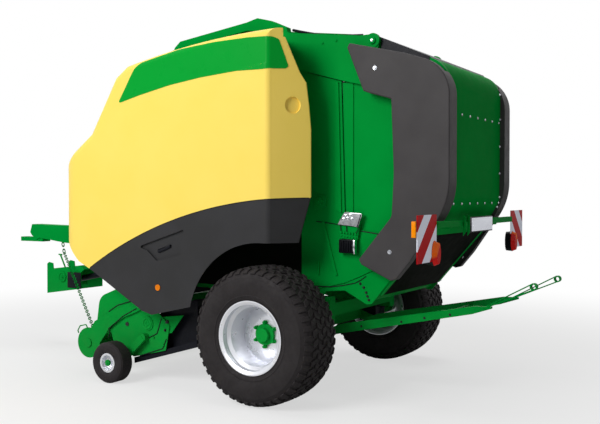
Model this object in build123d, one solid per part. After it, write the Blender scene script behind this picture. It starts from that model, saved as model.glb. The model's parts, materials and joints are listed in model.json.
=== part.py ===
from build123d import *
from math import cos, pi, radians, sin
import os

os.makedirs("parts", exist_ok=True)

# A fixed-frame round baler: hoods that lift at the sides, a tailgate that
# swings up over the bale, a pickup with its tined reel and a bale ejector.
# Millimetres. +X is the machine's left, +Y its rear, +Z up.
# Every sub-part is drawn with y = 0 on the axle line and z = 0 on the ground.
# axleY then sets the origin below the middle of the whole machine.
axleY = 1159

# running gear
tyreRadius = 582
tyreWidth = 500
trackHalf = 1178
rimSeatRadius = 282
rimFlangeRadius = 304
rimLip = 236            # wheel centre to the outside of the rim's lip
discFace = -12          # outer face of the disc where the hub seats
hubRadius = 90
studCircle = 205
studCount = 6
studRadius = 11
axleHeight = tyreRadius
axleSide = 120
lugHeight = 13
lugLength = 84
lugCount = 22
spindleRadius = 30
spindleEnd = trackHalf - 30

# side walls: a fixed outer wall, the tailgate's box just inside it
wallOuter = 668
wallThick = 8
bandThick = 22
gateOuter = 652
gateInner = 600
sheet = 6

# tailgate hinge and its rams
hingeY, hingeZ = 759, 3044
bossRadius = 62
ramX = 630
ramFootY, ramFootZ = 245, 1700
crankRadius, crankAngle = 235, 172
ramHeadY = hingeY + crankRadius * cos(radians(crankAngle))
ramHeadZ = hingeZ + crankRadius * sin(radians(crankAngle))
ramBarrelRadius = 22
crankThick = 8
ramRodRadius = 13
ramEyeRadius = 24
ramPinRadius = 10
pinPlay = 0.1

# outer line of the tailgate's back from its lower tip up and over: (y, z), corner radius
gateRear = [(820, 905), (1250, 1403), (1424, 1690), (1430, 2790), (800, 3070)]
gateRadii = [40, 150, 250]
# line from the tailgate's top down its open front edge: (y, z)
gateFront = [(690, 3075), (640, 2980), (505, 2700), (505, 1420)]
roofEnd = 1265
barRear = 1446
barZ = 1520
boardRear = 1435
boardThick = 8
boardInner, boardOuter = 943, 1312
lampX, lampZ = 986, 1304

# belts and chamber rollers
beltCount = 5
beltPitch = 232
beltGap = 24
beltThick = 8
beltBend = 150
rollerRadius = 50
tailRollerRadius = 40
# chamber rollers: (y, z)
chamberSpots = [(-330, 1010), (-90, 935), (170, 915), (690, 895), (-330, 2760), (60, 2980), (-540, 1500)]
tailgateSpots = [(812, 1045), (1150, 2830)]
# middle line of each set of belts, seen from the side: (y, z)
frontBeltLine = [(60, 970), (-260, 1085), (-440, 1500), (-450, 2200), (-260, 2700), (150, 2880)]
rearBeltLine = [(870, 1040), (1180, 1420), (1335, 1740), (1340, 2400), (1250, 2680), (800, 2930)]

# covers on the tailgate
coverInner = 700
coverOuter = 778
coverWall = 5
coverRimInner = 615
coverEdge = 12
# feet under each cover: (y, z)
coverFeet = [(1200, 2700), (1250, 1700), (1250, 2200)]

# hoods
hoodInner = 705
hoodOuter = 1262
hoodWall = 7
hoodFrontY = -2405
hoodCornerRadius = 300
hoodEdgeRadius = 90
catchDepth = 22
scoopDepth = 26
scoopMiddle = (1085, 219, 2500)
stepDepth = 4
# three points of the arc along the hood's top, seen from the side: (y, z)
hoodTop = [(-1500, 2945), (-620, 3088), (500, 3130)]
hoodGap = 4
hoodHinge = (712, 3100)
# hood hinges along the machine: y, height of the deck above, height of the hood below
hingeSpots = [(-1350, 3178, 2976), (-1000, 3223, 3038)]

# pickup
pickupHalf = 1060
pickupHingeY, pickupHingeZ = -1290, 640
hingePinRadius = 20
pressPivotY, pressPivotZ = -1500, 690
reelY, reelZ = -1660, 520
tubeY, tubeZ = -1275, 430
camY, camZ = -1402, 547
gaugeArm = (-1420, 420)
tineTip = 300
tineRows = 4
tineCircle = 150
tineBarSide = 28
bandRadius = 235
bandPitch = 78
bandBack = -1400
bandSheet = 4
gaugeX, gaugeY = pickupHalf + 193, -1670
gaugeRadius = 190
gaugeWidth = 155
cropY, cropZ = -2150, 300
cropRadius = 92
cropDisc = 148

# frame, drawbar and drive
frameHalf = wallOuter - wallThick
frameFront = -1560
# rods across the front deck: y, z
deckRods = [(-1360, 3138), (-300, 3213)]
# cross members: y0, y1, z0, z1
crossMembers = [(frameFront, frameFront + 100, 870, 955), (-720, -620, 790, 870), (240, 330, 690, 800)]
drawbarHalf = 75
drawbarTop = 1392
eyeY, eyeZ = -4290, 1218
eyeRadius = 25.5
eyeThick = 50
shaftZ = 765
guardHalf = 170
stubRadius = 17.45
boxInputZ = 1040

# ejector
ejectorX = 366
ejectorPivotY, ejectorPivotZ = 200, 505
ejectorEndY, ejectorEndZ = 1683, 830
ejectorTube = 20
ejectorCoil = (2028, 1022)
earX = ejectorX + 90


def outline(points, radius=0):
    """Closed face in the side view's (y, z) plane, with its corners rounded."""
    if radius == 0:
        return make_face(Polyline(*points, close=True))
    return make_face(FilletPolyline(*points, radius=radius, close=True))


def side(face, x0, x1):
    """Side-view face swept across the machine from x0 to x1."""
    return extrude(Plane.YZ.offset(x0) * face, amount=x1 - x0)


def strip(points, radius, thick):
    """Bent sheet seen from the side, thick to the left of its run."""
    line = FilletPolyline(*points, radius=radius)
    return make_face(offset(line, amount=thick, side=Side.LEFT))


def ring(radius, hole, x0, x1, y, z):
    """Short tube along X."""
    return crossRod(x0, x1, y, z, radius) - crossRod(x0 - 1, x1 + 1, y, z, hole)


def box(x0, x1, y0, y1, z0, z1):
    return Pos((x0 + x1) / 2, (y0 + y1) / 2, (z0 + z1) / 2) * Box(x1 - x0, y1 - y0, z1 - z0)


def rod(a, b, radius):
    """Round bar from point a to point b."""
    run = Vector(*b) - Vector(*a)
    return extrude(Plane(origin=a, z_dir=run) * Circle(radius), amount=run.length)


def bar(a, b, wide, deep, wideEnd=None, deepEnd=None):
    """Rectangular bar between two points of one side view, tapering if asked."""
    run = Vector(*b) - Vector(*a)
    start = Plane(origin=a, x_dir=(1, 0, 0), z_dir=run)
    if wideEnd is None:
        return extrude(start * Rectangle(wide, deep), amount=run.length)
    end = Plane(origin=b, x_dir=(1, 0, 0), z_dir=run)
    return loft([start * Rectangle(wide, deep), end * Rectangle(wideEnd, deepEnd)])


def crossRod(x0, x1, y, z, radius):
    """Round bar along X."""
    return rod((x0, y, z), (x1, y, z), radius)


def flip(shape):
    """The same piece on the machine's right."""
    return mirror(shape, about=Plane.YZ)


nodes = {}
bothSides = (("left", lambda shape: shape), ("right", flip))


def keep(name, shape):
    nodes[name] = shape


def tyre(radius, lug, width, beadHalf, seat, flange):
    """Tyre carcass as a ring: crown, sloped shoulders, flanks and open bead."""
    half = width / 2
    crown = radius - lug
    shoulder = crown - half * 0.14
    foot = flange + 2
    flank = (shoulder + foot) / 2
    line = Curve() + [
        Line((-beadHalf, foot), (-beadHalf, seat)),
        Line((-beadHalf, seat), (beadHalf, seat)),
        Line((beadHalf, seat), (beadHalf, foot)),
        ThreePointArc((beadHalf, foot), (half * 1.02, flank), (half * 0.94, shoulder)),
        Line((half * 0.94, shoulder), (half * 0.74, crown)),
        Line((half * 0.74, crown), (-half * 0.74, crown)),
        Line((-half * 0.74, crown), (-half * 0.94, shoulder)),
        ThreePointArc((-half * 0.94, shoulder), (-half * 1.02, flank), (-beadHalf, foot)),
    ]
    return revolve(make_face(line), axis=Axis.X)


def mainTyre():
    """Main tyre with blocks round both shoulders that follow its crown."""
    body = tyre(tyreRadius, lugHeight, tyreWidth, rimLip - 12, rimSeatRadius, rimFlangeRadius + 4)
    half = tyreWidth / 2
    top = tyreRadius
    block = extrude(Plane.XZ.offset(-lugLength / 2) * make_face(Polyline(
        (half * 0.46, top - 30), (half * 0.46, top), (half * 0.74, top - 4), (half * 0.94, top - 37),
        (half * 0.98, top - 70), (half * 0.86, top - 70), close=True)), amount=lugLength)
    blocks = []
    for index in range(lugCount):
        turn = 360 / lugCount * index
        blocks.append(Rot(turn, 0, 0) * block)
        blocks.append(Rot(turn + 180 / lugCount, 0, 0) * flip(block))
    return body + blocks


def wheelPieces():
    """Tyre, rim and hub of the left main wheel, at the wheel's own centre."""
    wall = 8
    seat = rimSeatRadius - 0.5
    well = 254
    lip = rimLip - wall
    back = discFace - 10
    bore = 40
    line = Curve() + [
        Polyline((lip, seat), (lip, rimFlangeRadius), (rimLip, rimFlangeRadius + 4),
                 (rimLip, rimFlangeRadius - 6), (lip - 4, seat - wall), (172, seat - wall), (148, well - wall),
                 (-46, well - wall)),
        ThreePointArc((-46, well - wall), (-24, 190), (discFace, 130)),
        Polyline((discFace, 130), (discFace, bore), (back, bore), (back, 132)),
        ThreePointArc((back, 132), (-36, 196), (-62, well - wall)),
        Polyline((-62, well - wall), (-148, well - wall), (-172, seat - wall), (4 - lip, seat - wall),
                 (-rimLip, rimFlangeRadius - 6), (-rimLip, rimFlangeRadius + 4), (-lip, rimFlangeRadius),
                 (-lip, seat), (-166, seat), (-142, well), (142, well), (166, seat), (lip, seat)),
    ]
    rim = revolve(make_face(line), axis=Axis.X)
    hub = crossRod(discFace, discFace + 24, 0, 0, hubRadius)
    hub += crossRod(discFace + 24, discFace + 62, 0, 0, hubRadius * 0.62)
    hub += crossRod(-100, back, 0, 0, hubRadius)
    hub += crossRod(back, discFace, 0, 0, bore)
    hub -= crossRod(-110, spindleEnd - trackHalf + 5, 0, 0, spindleRadius + pinPlay / 2)
    nut = extrude(Plane.YZ.offset(discFace) * RegularPolygon(studRadius * 1.6, 6), amount=22)
    stud = crossRod(discFace, discFace + 40, 0, 0, studRadius)
    for index in range(studCount):
        angle = radians(360 / studCount * (index + 0.5))
        hub += Pos(0, studCircle / 2 * cos(angle), studCircle / 2 * sin(angle)) * (nut + stud)
    return mainTyre(), rim, hub


def runningGear():
    tyreShape, rim, hub = wheelPieces()
    place = Pos(trackHalf, 0, axleHeight)
    for suffix, turned in bothSides:
        keep("tyre_" + suffix, turned(place * tyreShape))
        keep("wheel_rim_" + suffix, turned(place * rim))
        keep("wheel_hub_" + suffix, turned(place * hub))


def axle():
    """Square axle, its spindles and the ears that carry the ejector."""
    beamEnd = trackHalf - 160
    shoulder = trackHalf - 106
    bottom = axleHeight - axleSide / 2
    shape = box(-beamEnd, beamEnd, -axleSide / 2, axleSide / 2, bottom, bottom + axleSide)
    for sign in (1, -1):
        shape += crossRod(sign * beamEnd, sign * shoulder, 0, axleHeight, 55)
        shape += crossRod(sign * shoulder, sign * spindleEnd, 0, axleHeight, spindleRadius)
        x = sign * earX
        ear = side(outline([
            (50, axleHeight - 60), (50, axleHeight + 30), (ejectorPivotY + 10, ejectorPivotZ + 50),
            (ejectorPivotY + 45, ejectorPivotZ + 20), (ejectorPivotY + 45, ejectorPivotZ - 40),
            (ejectorPivotY - 20, ejectorPivotZ - 45),
        ]), x - 8, x + 8)
        shape += ear - crossRod(x - 12, x + 12, ejectorPivotY, ejectorPivotZ, ejectorTube + pinPlay / 2)
    return shape


def chassisFrame():
    """Two side members, cross members, the front post and the pickup's hangers."""
    low = axleHeight + axleSide / 2
    member = [
        (frameFront, 870), (frameFront, 960), (-1000, 960), (-500, 860), (330, 860), (330, low),
        (-100, low), (-700, 780), (-1000, 870),
    ]
    shape = box(-drawbarHalf, drawbarHalf, frameFront, frameFront + 100, 870, drawbarTop)
    for sign in (1, -1):
        a, b = sorted((sign * (frameHalf - 100), sign * frameHalf))
        shape += side(outline(member), a, b)
        hanger = outline([
            (-1380, 880), (-1200, 880), (pickupHingeY + 40, pickupHingeZ - 10),
            (pickupHingeY, pickupHingeZ - 38), (pickupHingeY - 40, pickupHingeZ - 10),
        ])
        x = sign * (frameHalf - 40)
        shape += side(hanger, x - 8, x + 8)
        shape += crossRod(x, x + sign * 56, pickupHingeY, pickupHingeZ, hingePinRadius)
    for y0, y1, z0, z1 in crossMembers:
        shape += box(-frameHalf + 50, frameHalf - 50, y0, y1, z0, z1)
    return shape


def sideWall():
    """Fixed left wall of the chamber, with the ribs pressed into it."""
    points = [
        (-1500, 905), (-1500, 2350), (-1300, 2700), (-900, 2960), (-150, 2900), (58, 2845),
        (448, 2728), (486, 1500), (800, 1416), (960, 1250), (940, 1190), (840, 1140), (731, 1105),
        (600, 1045), (480, 995), (244, 938), (-200, 905),
    ]
    wall = side(outline(points), wallOuter - wallThick, wallOuter)
    # upright rib beside the seam and slanted rib below it
    ribs = [
        [(395, 1620), (395, 2730), (425, 2722), (455, 1600)],
        [(262, 1515), (285, 1520), (415, 1062), (392, 1056)],
        [(225, 1175), (240, 1175), (232, 1052), (217, 1052)],
    ]
    for rib in ribs:
        wall += side(outline(rib), wallOuter, wallOuter + 14)
    return [wall + ramBracket(), lowerCheek()]


def ramBracket():
    """Foot of the ram: a lug inside the wall, its pin and the outer cheek."""
    pin = crossRod(ramX - 24, wallOuter + 60, ramFootY, ramFootZ, ramPinRadius)
    head = crossRod(wallOuter + 14, wallOuter + 40, ramFootY, ramFootZ, 30)
    cheek = side(outline([(ramFootY - 60, ramFootZ - 90), (ramFootY - 60, ramFootZ + 60),
                          (ramFootY + 60, ramFootZ + 40), (ramFootY + 60, ramFootZ - 50)], 12),
                 wallOuter, wallOuter + 14)
    return pin + head + cheek


def topBand():
    """Plate across the top of the left wall that carries the hinge boss."""
    x0 = wallOuter
    x1 = wallOuter + bandThick
    points = [
        (-900, 2962), (-900, 3105), (-139, 3215), (-65, 3190), (640, 3098), (759, 3100),
        (812, 3060), (812, 3000), (690, 2676), (460, 2732), (58, 2850), (-150, 2905),
    ]
    band = side(outline(points), x0, x1)
    band += crossRod(x0, x1 + 8, hingeY, hingeZ, bossRadius)
    band += crossRod(x0 - 12, x0, hingeY, hingeZ, bossRadius - 10)
    band -= crossRod(x0 - 30, x1 + 30, hingeY, hingeZ, 25 + pinPlay / 2)
    return band


def lowerCheek():
    """Plate below the wall that carries the lower chamber rollers."""
    points = [
        (-420, 760), (-420, 895), (-205, 899), (245, 932), (482, 989), (602, 1039), (733, 1099), (842, 1134),
        (905, 1150), (914, 1040), (738, 828), (691, 824), (600, 872), (483, 930), (300, 915), (200, 762),
    ]
    return side(outline(points), wallOuter - wallThick, wallOuter)


def frontDeck():
    """Roof sheet between the hoods, its two beams and the end pieces."""
    deck = side(strip([(-1560, 3070), (-1440, 3160), (-560, 3270), (-170, 3215), (620, 3110)], 40, -sheet),
                -640, 640)
    for sign in (1, -1):
        x = sign * 520
        beam = side(outline([(-1500, 3165), (-1490, 3205), (-1420, 3262), (-620, 3365), (-500, 3392),
                             (-340, 3349), (-180, 3277), (-170, 3225), (-560, 3275), (-1440, 3166)]),
                    x - 35, x + 35)
        deck += beam
    for y, z in deckRods:
        deck += crossRod(-wallOuter, wallOuter, y, z, 28)
    x, z = hoodHinge
    for y, deckZ, hoodZ in hingeSpots:
        for ySide in (y - 36, y + 24):
            plate = extrude(Plane.XZ.offset(-ySide - 12) * make_face(Polyline(
                (600, deckZ), (640, deckZ), (x + 14, z + 12), (x + 14, z - 12), (x - 10, z - 12),
                (600, deckZ - 60), close=True)), amount=12)
            deck += plate
            deck += flip(plate)
        pin = rod((x, y - 40, z), (x, y + 40, z), 8)
        deck += pin
        deck += flip(pin)
    return deck


def frontCover():
    """Net box cover in the middle of the front, flush between the hoods."""
    half = hoodInner - hoodGap
    shell = strip([(-1560, 3050), (-1760, 2900), (-2020, 2450), (-2330, 2130), (-2385, 2040), (-2385, 1440),
                   (-2300, 1440)], 30, -hoodWall)
    cover = side(shell, -half, half)
    for sign in (1, -1):
        a, b = sorted((sign * (half - 6), sign * half))
        cover += side(outline([(-1560, 3040), (-1760, 2890), (-2010, 2448), (-2322, 2128), (-2378, 2040),
                               (-2378, 1447), (-1520, 1447), (-1520, 3040)]), a, b)
    return cover


def rollers(spots, half, radius):
    """Plain rollers across the chamber, one at each (y, z)."""
    return [crossRod(-half, half, y, z, radius) for y, z in spots]


def belts(path, radius):
    """Side-by-side belts that follow one bent path."""
    face = strip(path, radius, beltThick)
    start = -(beltCount - 1) / 2 * beltPitch
    half = (beltPitch - beltGap) / 2
    return [side(face, start + i * beltPitch - half, start + i * beltPitch + half) for i in range(beltCount)]


def hoodForm(inset):
    """Closed outer form of the left hood, set in all round by inset.

    Its rear and bottom run on past the shell's edges, which are cut later.
    """
    rise = Curve() + [
        ThreePointArc((-2320, 1320), (hoodFrontY, 1700), (-2320, 2080)),
        Polyline((-2320, 2080), (-1955, 2341), (-1640, 2850), hoodTop[0]),
        ThreePointArc(*hoodTop),
        Polyline(hoodTop[-1], (500, 500), (-1914, 500), (-1914, 1033), (-2093, 1117), (-2320, 1320)),
    ]
    r = hoodCornerRadius
    turned = (hoodOuter - r + r * sin(pi / 4), hoodFrontY + r - r * cos(pi / 4))
    plan = Curve() + [
        Line((hoodInner - 20, hoodFrontY), (hoodOuter - r, hoodFrontY)),
        ThreePointArc((hoodOuter - r, hoodFrontY), turned, (hoodOuter, hoodFrontY + r)),
        Line((hoodOuter, hoodFrontY + r), (hoodOuter, 40)),
        ThreePointArc((hoodOuter, 40), (1254, 76), (1230, 100)),
        Polyline((1230, 100), (hoodInner - 20, 518), (hoodInner - 20, hoodFrontY)),
    ]
    sideFace = make_face(rise)
    planFace = make_face(plan)
    if inset:
        sideFace = offset(sideFace, amount=-inset)
        planFace = offset(planFace, amount=-inset)
    form = side(sideFace, hoodInner - 20, hoodOuter + 40) & extrude(planFace, amount=4000)
    slopeEdges = []
    for edge in form.edges():
        middle = edge.center()
        if middle.X > hoodOuter - 60 and 2100 < middle.Z < 2930:
            slopeEdges.append(edge)
    form = fillet(slopeEdges, hoodEdgeRadius - inset)
    return form - topRound(inset)


def topRound(inset):
    """What the rounded edge takes off along the top, turned about the top's own arc."""
    arc = ThreePointArc(*hoodTop)
    centre = arc.arc_center
    x = hoodOuter - inset
    top = centre.Y + arc.radius - inset
    e = hoodEdgeRadius - inset
    corner = Curve() + [
        ThreePointArc((x - e, top), (x - e + e * sin(pi / 4), top - e + e * cos(pi / 4)), (x, top - e)),
        Polyline((x, top - e), (x + 60, top - e), (x + 60, top + 60), (x - e, top + 60), (x - e, top)),
    ]
    face = Plane.XZ.offset(-centre.X) * make_face(corner)
    axis = Axis((0, centre.X, centre.Y), (1, 0, 0))
    ahead = revolve(face, axis=axis, revolution_arc=12.5)
    behind = revolve(face, axis=axis, revolution_arc=-6)
    return ahead + behind


def hoodPockets(grow):
    """Catch pocket in the lower panel and hand scoop in the rear return."""
    catch = outline([(-1340, 1280), (-800, 1450), (-840, 1225), (-1120, 1160), (-1230, 1250)], 14)
    if grow:
        catch = offset(catch, amount=grow)
    pocket = side(catch, hoodOuter - catchDepth - grow, hoodOuter + 40)
    into = Plane(origin=scoopMiddle, z_dir=(-0.61, -0.79, 0))
    scoop = into * Cylinder(70 + grow, 2 * (scoopDepth + grow))
    return pocket + scoop


def hoodShell():
    """Left hood as a shell, open to the ground, to the wheel and beside the wall."""
    step = side(make_face(Curve() + [
        ThreePointArc((-2080, 2330), (-1000, 2635), (400, 2890)),
        Polyline((400, 2890), (400, 3300), (-2080, 3300), (-2080, 2330)),
    ]), hoodOuter - stepDepth, hoodOuter + 40)
    shell = hoodForm(0) - step - hoodPockets(0) - (hoodForm(hoodWall) - hoodPockets(hoodWall))
    rearTrim = outline([
        (155, 3300), (160, 3095), (251, 2770), (285, 2690), (300, 2500), (311, 2300), (311, 1740),
        (262, 1460), (235, 1300), (700, 1300), (700, 3300),
    ])
    underTrim = make_face(Curve() + [
        Polyline((-1914, 1033), (-1291, 696), (-1177, 669), (-736, 770)),
        ThreePointArc((-736, 770), (-500, 1168), (13, 1352)),
        Polyline((13, 1352), (700, 1352), (700, 400), (-1935, 400), (-1935, 1033), (-1914, 1033)),
    ])
    shell -= side(rearTrim, 600, 1400)
    shell -= side(underTrim, 600, 1400)
    shell -= box(600, hoodInner, -3000, 700, 400, 3400)
    # the top sheet's rear edge runs forwards towards the middle, its corner off the hinge boss when lifted
    inboard = hoodInner - 5
    topTrim = make_face(Polyline(
        (1150, 162), (730, -106), (inboard, -300), (inboard, 700), (1150, 700), close=True))
    shell -= Pos(0, 0, 3060) * extrude(topTrim, amount=300)
    slot = outline([(-1120, 1240), (-1120, 1262), (-960, 1312), (-960, 1290)], 6)
    return shell - side(slot, 1200, 1300)


def hoodKnuckles():
    """Ring and arm of each hood hinge on the left hood."""
    x, z = hoodHinge
    shape = []
    for y, deckZ, hoodZ in hingeSpots:
        run = rod((x, y - 20, z), (x, y + 20, z), 15)
        armFace = make_face(Polyline(
            (x - 2, z - 6), (x + 14, z - 2), (x + 50, hoodZ - 16), (x + 26, hoodZ - 16), close=True))
        arm = extrude(Plane.XZ.offset(-y - 20) * armFace, amount=40)
        shape.append(run + arm - rod((x, y - 25, z), (x, y + 25, z), 8 + pinPlay / 2))
    return shape


def hoods():
    shell = hoodShell()
    split = make_face(Curve() + [
        ThreePointArc((-2100, 960), (-1080, 1478), (400, 1728)),
        Polyline((400, 1728), (400, 400), (-2100, 400), (-2100, 960)),
    ])
    lowerZone = side(split, 600, 1400)
    upper = shell - lowerZone
    for knuckle in hoodKnuckles():
        upper += knuckle - hoodForm(hoodWall)
    marker = crossRod(hoodOuter, hoodOuter + 8, -1100, 920, 28)
    lower = (shell & lowerZone) + marker
    for suffix, turned in bothSides:
        keep("hood_upper_" + suffix, turned(upper))
        keep("hood_lower_" + suffix, turned(lower))


def gateLine():
    """Outer line of the tailgate's back, with its bends rounded."""
    return FilletPolyline(*gateRear, radius=gateRadii)


def gateFace():
    """Side view of the whole tailgate box."""
    line = gateLine()
    front = Polyline(gateRear[-1], *gateFront, gateRear[0])
    return make_face(Curve() + [line, front])


def gateSheet():
    """Side view of the sheet that follows the tailgate's back."""
    return make_face(offset(gateLine(), amount=sheet, side=Side.LEFT))


def gateSide():
    """Left side box of the tailgate with its seam flange, trunnion and the ram's crank."""
    shape = side(gateFace(), gateInner, gateInner + sheet)
    shape += side(gateFace(), gateOuter - sheet, gateOuter)
    shape += side(gateSheet(), gateInner, gateOuter)
    crank = outline([
        (ramHeadY - 36, ramHeadZ + 30), (ramHeadY - 36, ramHeadZ - 36), (600, 2880), (740, 2880), (760, 3080),
    ])
    shape += side(crank, gateInner, gateInner + crankThick)
    # flange that closes the seam behind the fixed wall
    flange = outline([(457, 2715), (494, 1514), (560, 1496), (560, 2715)])
    shape += side(flange, gateOuter + 5, gateOuter + 10)
    shape += box(gateOuter - 2, gateOuter + 8, 540, 560, 1510, 2690)
    # trunnion that turns in the fixed boss
    shape += crossRod(gateInner, wallOuter + bandThick + 14, hingeY, hingeZ, 25)
    return shape


def gateSkin():
    """Rear sheet from the lower edge over the top."""
    return side(gateSheet(), -gateInner, gateInner)


def gateRoof():
    """Black cap over the top of the tailgate, with a flange down each side."""
    start, end = gateRear[4], gateRear[3]
    slope = (end[1] - start[1]) / (end[0] - start[0])
    cap = []
    for y, rise in ((750, 0), (750, 9), (roofEnd - 12, 9), (roofEnd, 0)):
        cap.append((y, start[1] + (y - start[0]) * slope + rise))
    shape = side(outline(cap), -gateOuter, gateOuter)
    flangeTop = [(y, start[1] + (y - start[0]) * slope) for y in (820, roofEnd - 12)]
    flange = outline([flangeTop[0], flangeTop[1], (roofEnd - 12, flangeTop[1][1] - 90),
                      (1180, flangeTop[1][1] - 70), (820, flangeTop[0][1] - 95)])
    lip = outline([(y, z) for y, z in flangeTop] + [(y, z + 9) for y, z in reversed(flangeTop)])
    for sign in (1, -1):
        a, b = sorted((sign * gateOuter, sign * (gateOuter + sheet)))
        shape += side(flange, a, b)
        shape += side(lip, a, b)
    return shape


def gateCover():
    """C-shaped moulded cover on the left of the tailgate, with the rim round its rear."""
    corners = [
        (560, 2990), (579, 3027), (1080, 2904), (1472, 2771), (1472, 1696), (1133, 1203), (1011, 1058),
        (965, 1046), (695, 1170), (671, 1213), (972, 1575), (990, 1931), (966, 2538), (759, 2600),
        (712, 2618),
    ]
    radii = [12, 12, 300, 320, 560, 300, 30, 16, 30, 16, 90, 600, 16, 10, 10]
    body = make_face(FilletPolyline(*corners, radius=radii, close=True))
    cover = side(body, coverInner, coverOuter)
    cover = fillet(cover.faces().sort_by(Axis.X)[-1].edges(), coverEdge)
    cover -= side(offset(body, amount=-coverWall), coverInner - 10, coverOuter - coverWall)
    # rim that turns in over the edge of the rear sheet
    rim = side(body, coverRimInner, coverInner) & box(0, 2000, 1244, 1600, 1533, 2860)
    rim -= side(offset(body, amount=-coverWall), coverRimInner + coverWall, coverInner)
    cover += rim - side(gateFace(), 0, coverInner)
    # feet that seat the cover on the tailgate's side box
    for y, z in coverFeet:
        cover += crossRod(gateOuter, coverOuter - coverWall, y, z, 30)
    return cover


def lampBar():
    """Cross beam behind the rear sheet, its two stays and the board carriers."""
    half = boardInner - 3
    beam = box(-half, half, barRear - 38, barRear, barZ - 25, barZ + 25)
    for sign in (1, -1):
        beam += box(sign * 560 - 25, sign * 560 + 25, 1290, barRear - 38, barZ - 40, barZ + 10)
        a, b = sorted((sign * (half - 20), sign * (boardOuter - 90)))
        beam += box(a, b, barRear - 38, boardRear - boardThick, barZ - 25, barZ + 15)
    return beam - side(gateFace(), -gateInner, gateInner)


def lampShape(y0, inset0, y1, inset1):
    """Upright oval body from y0 back to y1, set in by one amount at each end."""
    ovals = []
    for y, inset in ((y0, inset0), (y1, inset1)):
        plane = Plane(origin=(lampX, y, lampZ), x_dir=(1, 0, 0), z_dir=(0, 1, 0))
        ovals.append(plane * Ellipse(56 - inset, 97 - inset))
    return loft(ovals)


def boards():
    """Square boards for the stripes, one on each end of the lamp beam."""
    board = box(boardInner, boardOuter, boardRear - boardThick, boardRear, 1242, 1602)
    board -= lampShape(boardRear - 40, -1, boardRear + 40, -1)
    return [board, flip(board)]


def lamps():
    """Tail lamps let into the boards' lower inner corners: housing and lens."""
    rear = boardRear + 2
    lamp = lampShape(boardRear - 58, 6, rear, 0) + lampShape(rear, 2, rear + 36, 16)
    lamp -= lampBar()
    return [lamp, flip(lamp)]


def ramPieces():
    """Barrel and rod of the left ram, drawn between its two pins."""
    foot = (ramX, ramFootY, ramFootZ)
    head = (ramX, ramHeadY, ramHeadZ)
    run = Vector(*head) - Vector(*foot)
    unit = run.normalized()
    length = run.length

    def at(distance):
        return tuple(Vector(*foot) + unit * distance)

    barrelEnd = 1050
    eye = 14
    barrel = rod(at(20), at(barrelEnd), ramBarrelRadius)
    barrel += crossRod(ramX - eye, ramX + eye, ramFootY, ramFootZ, ramEyeRadius)
    barrel -= rod(at(120), at(barrelEnd + 5), ramRodRadius + 0.3)
    barrel -= crossRod(ramX - 30, ramX + 30, ramFootY, ramFootZ, ramPinRadius + pinPlay / 2)
    rodPiece = rod(at(560), at(length - 15), ramRodRadius)
    rodPiece += crossRod(ramX - eye, ramX + eye, ramHeadY, ramHeadZ, ramEyeRadius)
    rodPiece += crossRod(gateInner + crankThick + 1, ramX + 20, ramHeadY, ramHeadZ, ramPinRadius)
    return barrel, rodPiece


def pickupSide():
    """Left end plate of the pickup with its dome and the cam boss."""
    corners = [
        (-1219, 610), (-1480, 810), (-1790, 850), (-2020, 760), (-2060, 500), (-1880, 440), (-1830, 320),
        (-1580, 215), (-1186, 311), (-1140, 545),
    ]
    radii = [30, 60, 90, 130, 30, 30, 40, 30, 20, 20]
    plate = side(make_face(FilletPolyline(*corners, radius=radii, close=True)), pickupHalf - 8, pickupHalf)
    plate += crossRod(pickupHalf, pickupHalf + 10, camY, camZ, 67)
    return plate - crossRod(0, 2000, reelY, reelZ, hingePinRadius + pinPlay / 2)


def pickupFrame():
    """End plates, cross tube, hinge lugs and the wheel arms."""
    plate = pickupSide()
    shape = plate + flip(plate)
    shape += crossRod(-pickupHalf + 4, pickupHalf - 4, tubeY, tubeZ, 45)
    armY, armZ = gaugeArm
    for sign in (1, -1):
        x = sign * frameHalf
        lug = side(outline([
            (tubeY - 30, tubeZ), (pickupHingeY - 40, pickupHingeZ + 10), (pickupHingeY, pickupHingeZ + 40),
            (pickupHingeY + 40, pickupHingeZ + 10), (tubeY + 30, tubeZ),
        ]), x - 10, x + 10)
        shape += lug - crossRod(x - 20, x + 20, pickupHingeY, pickupHingeZ, hingePinRadius + pinPlay / 2)
        armX = sign * (pickupHalf + 50)
        shape += bar((armX, armY, armZ), (armX, gaugeY, gaugeRadius), 30, 70)
        shape += crossRod(sign * (pickupHalf - 4), sign * (pickupHalf + 60), armY, armZ, 34)
        shape += crossRod(armX, sign * (gaugeX + 16), gaugeY, gaugeRadius, 20)
        pinEnd = sign * (pickupHalf + 26)
        shape += crossRod(sign * pickupHalf, pinEnd, pressPivotY, pressPivotZ, hingePinRadius)
    return shape


def spread():
    """Middles of the stripper bands across the pickup."""
    count = int((pickupHalf * 2 - 40) // bandPitch)
    return [(index - (count - 1) / 2) * bandPitch for index in range(count)]


def pickupBands():
    """Bent stripper bands round the reel, one between each pair of tine rows."""
    top, foot = reelZ + bandRadius, reelZ - bandRadius
    path = Curve() + [
        Line((bandBack, top), (reelY, top)),
        ThreePointArc((reelY, top), (reelY - bandRadius, reelZ), (reelY, foot)),
        Line((reelY, foot), (bandBack, foot + 60)),
    ]
    face = make_face(offset(path, amount=bandSheet, side=Side.LEFT))
    shape = Part()
    for x in spread():
        shape += side(face, x - 27, x + 27)
    for z0, z1 in ((top - 60, top - bandSheet / 2), (foot + 30, foot + 62)):
        shape += box(-pickupHalf + 10, pickupHalf - 10, bandBack - 4, bandBack + 8, z0, z1)
    return shape


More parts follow.
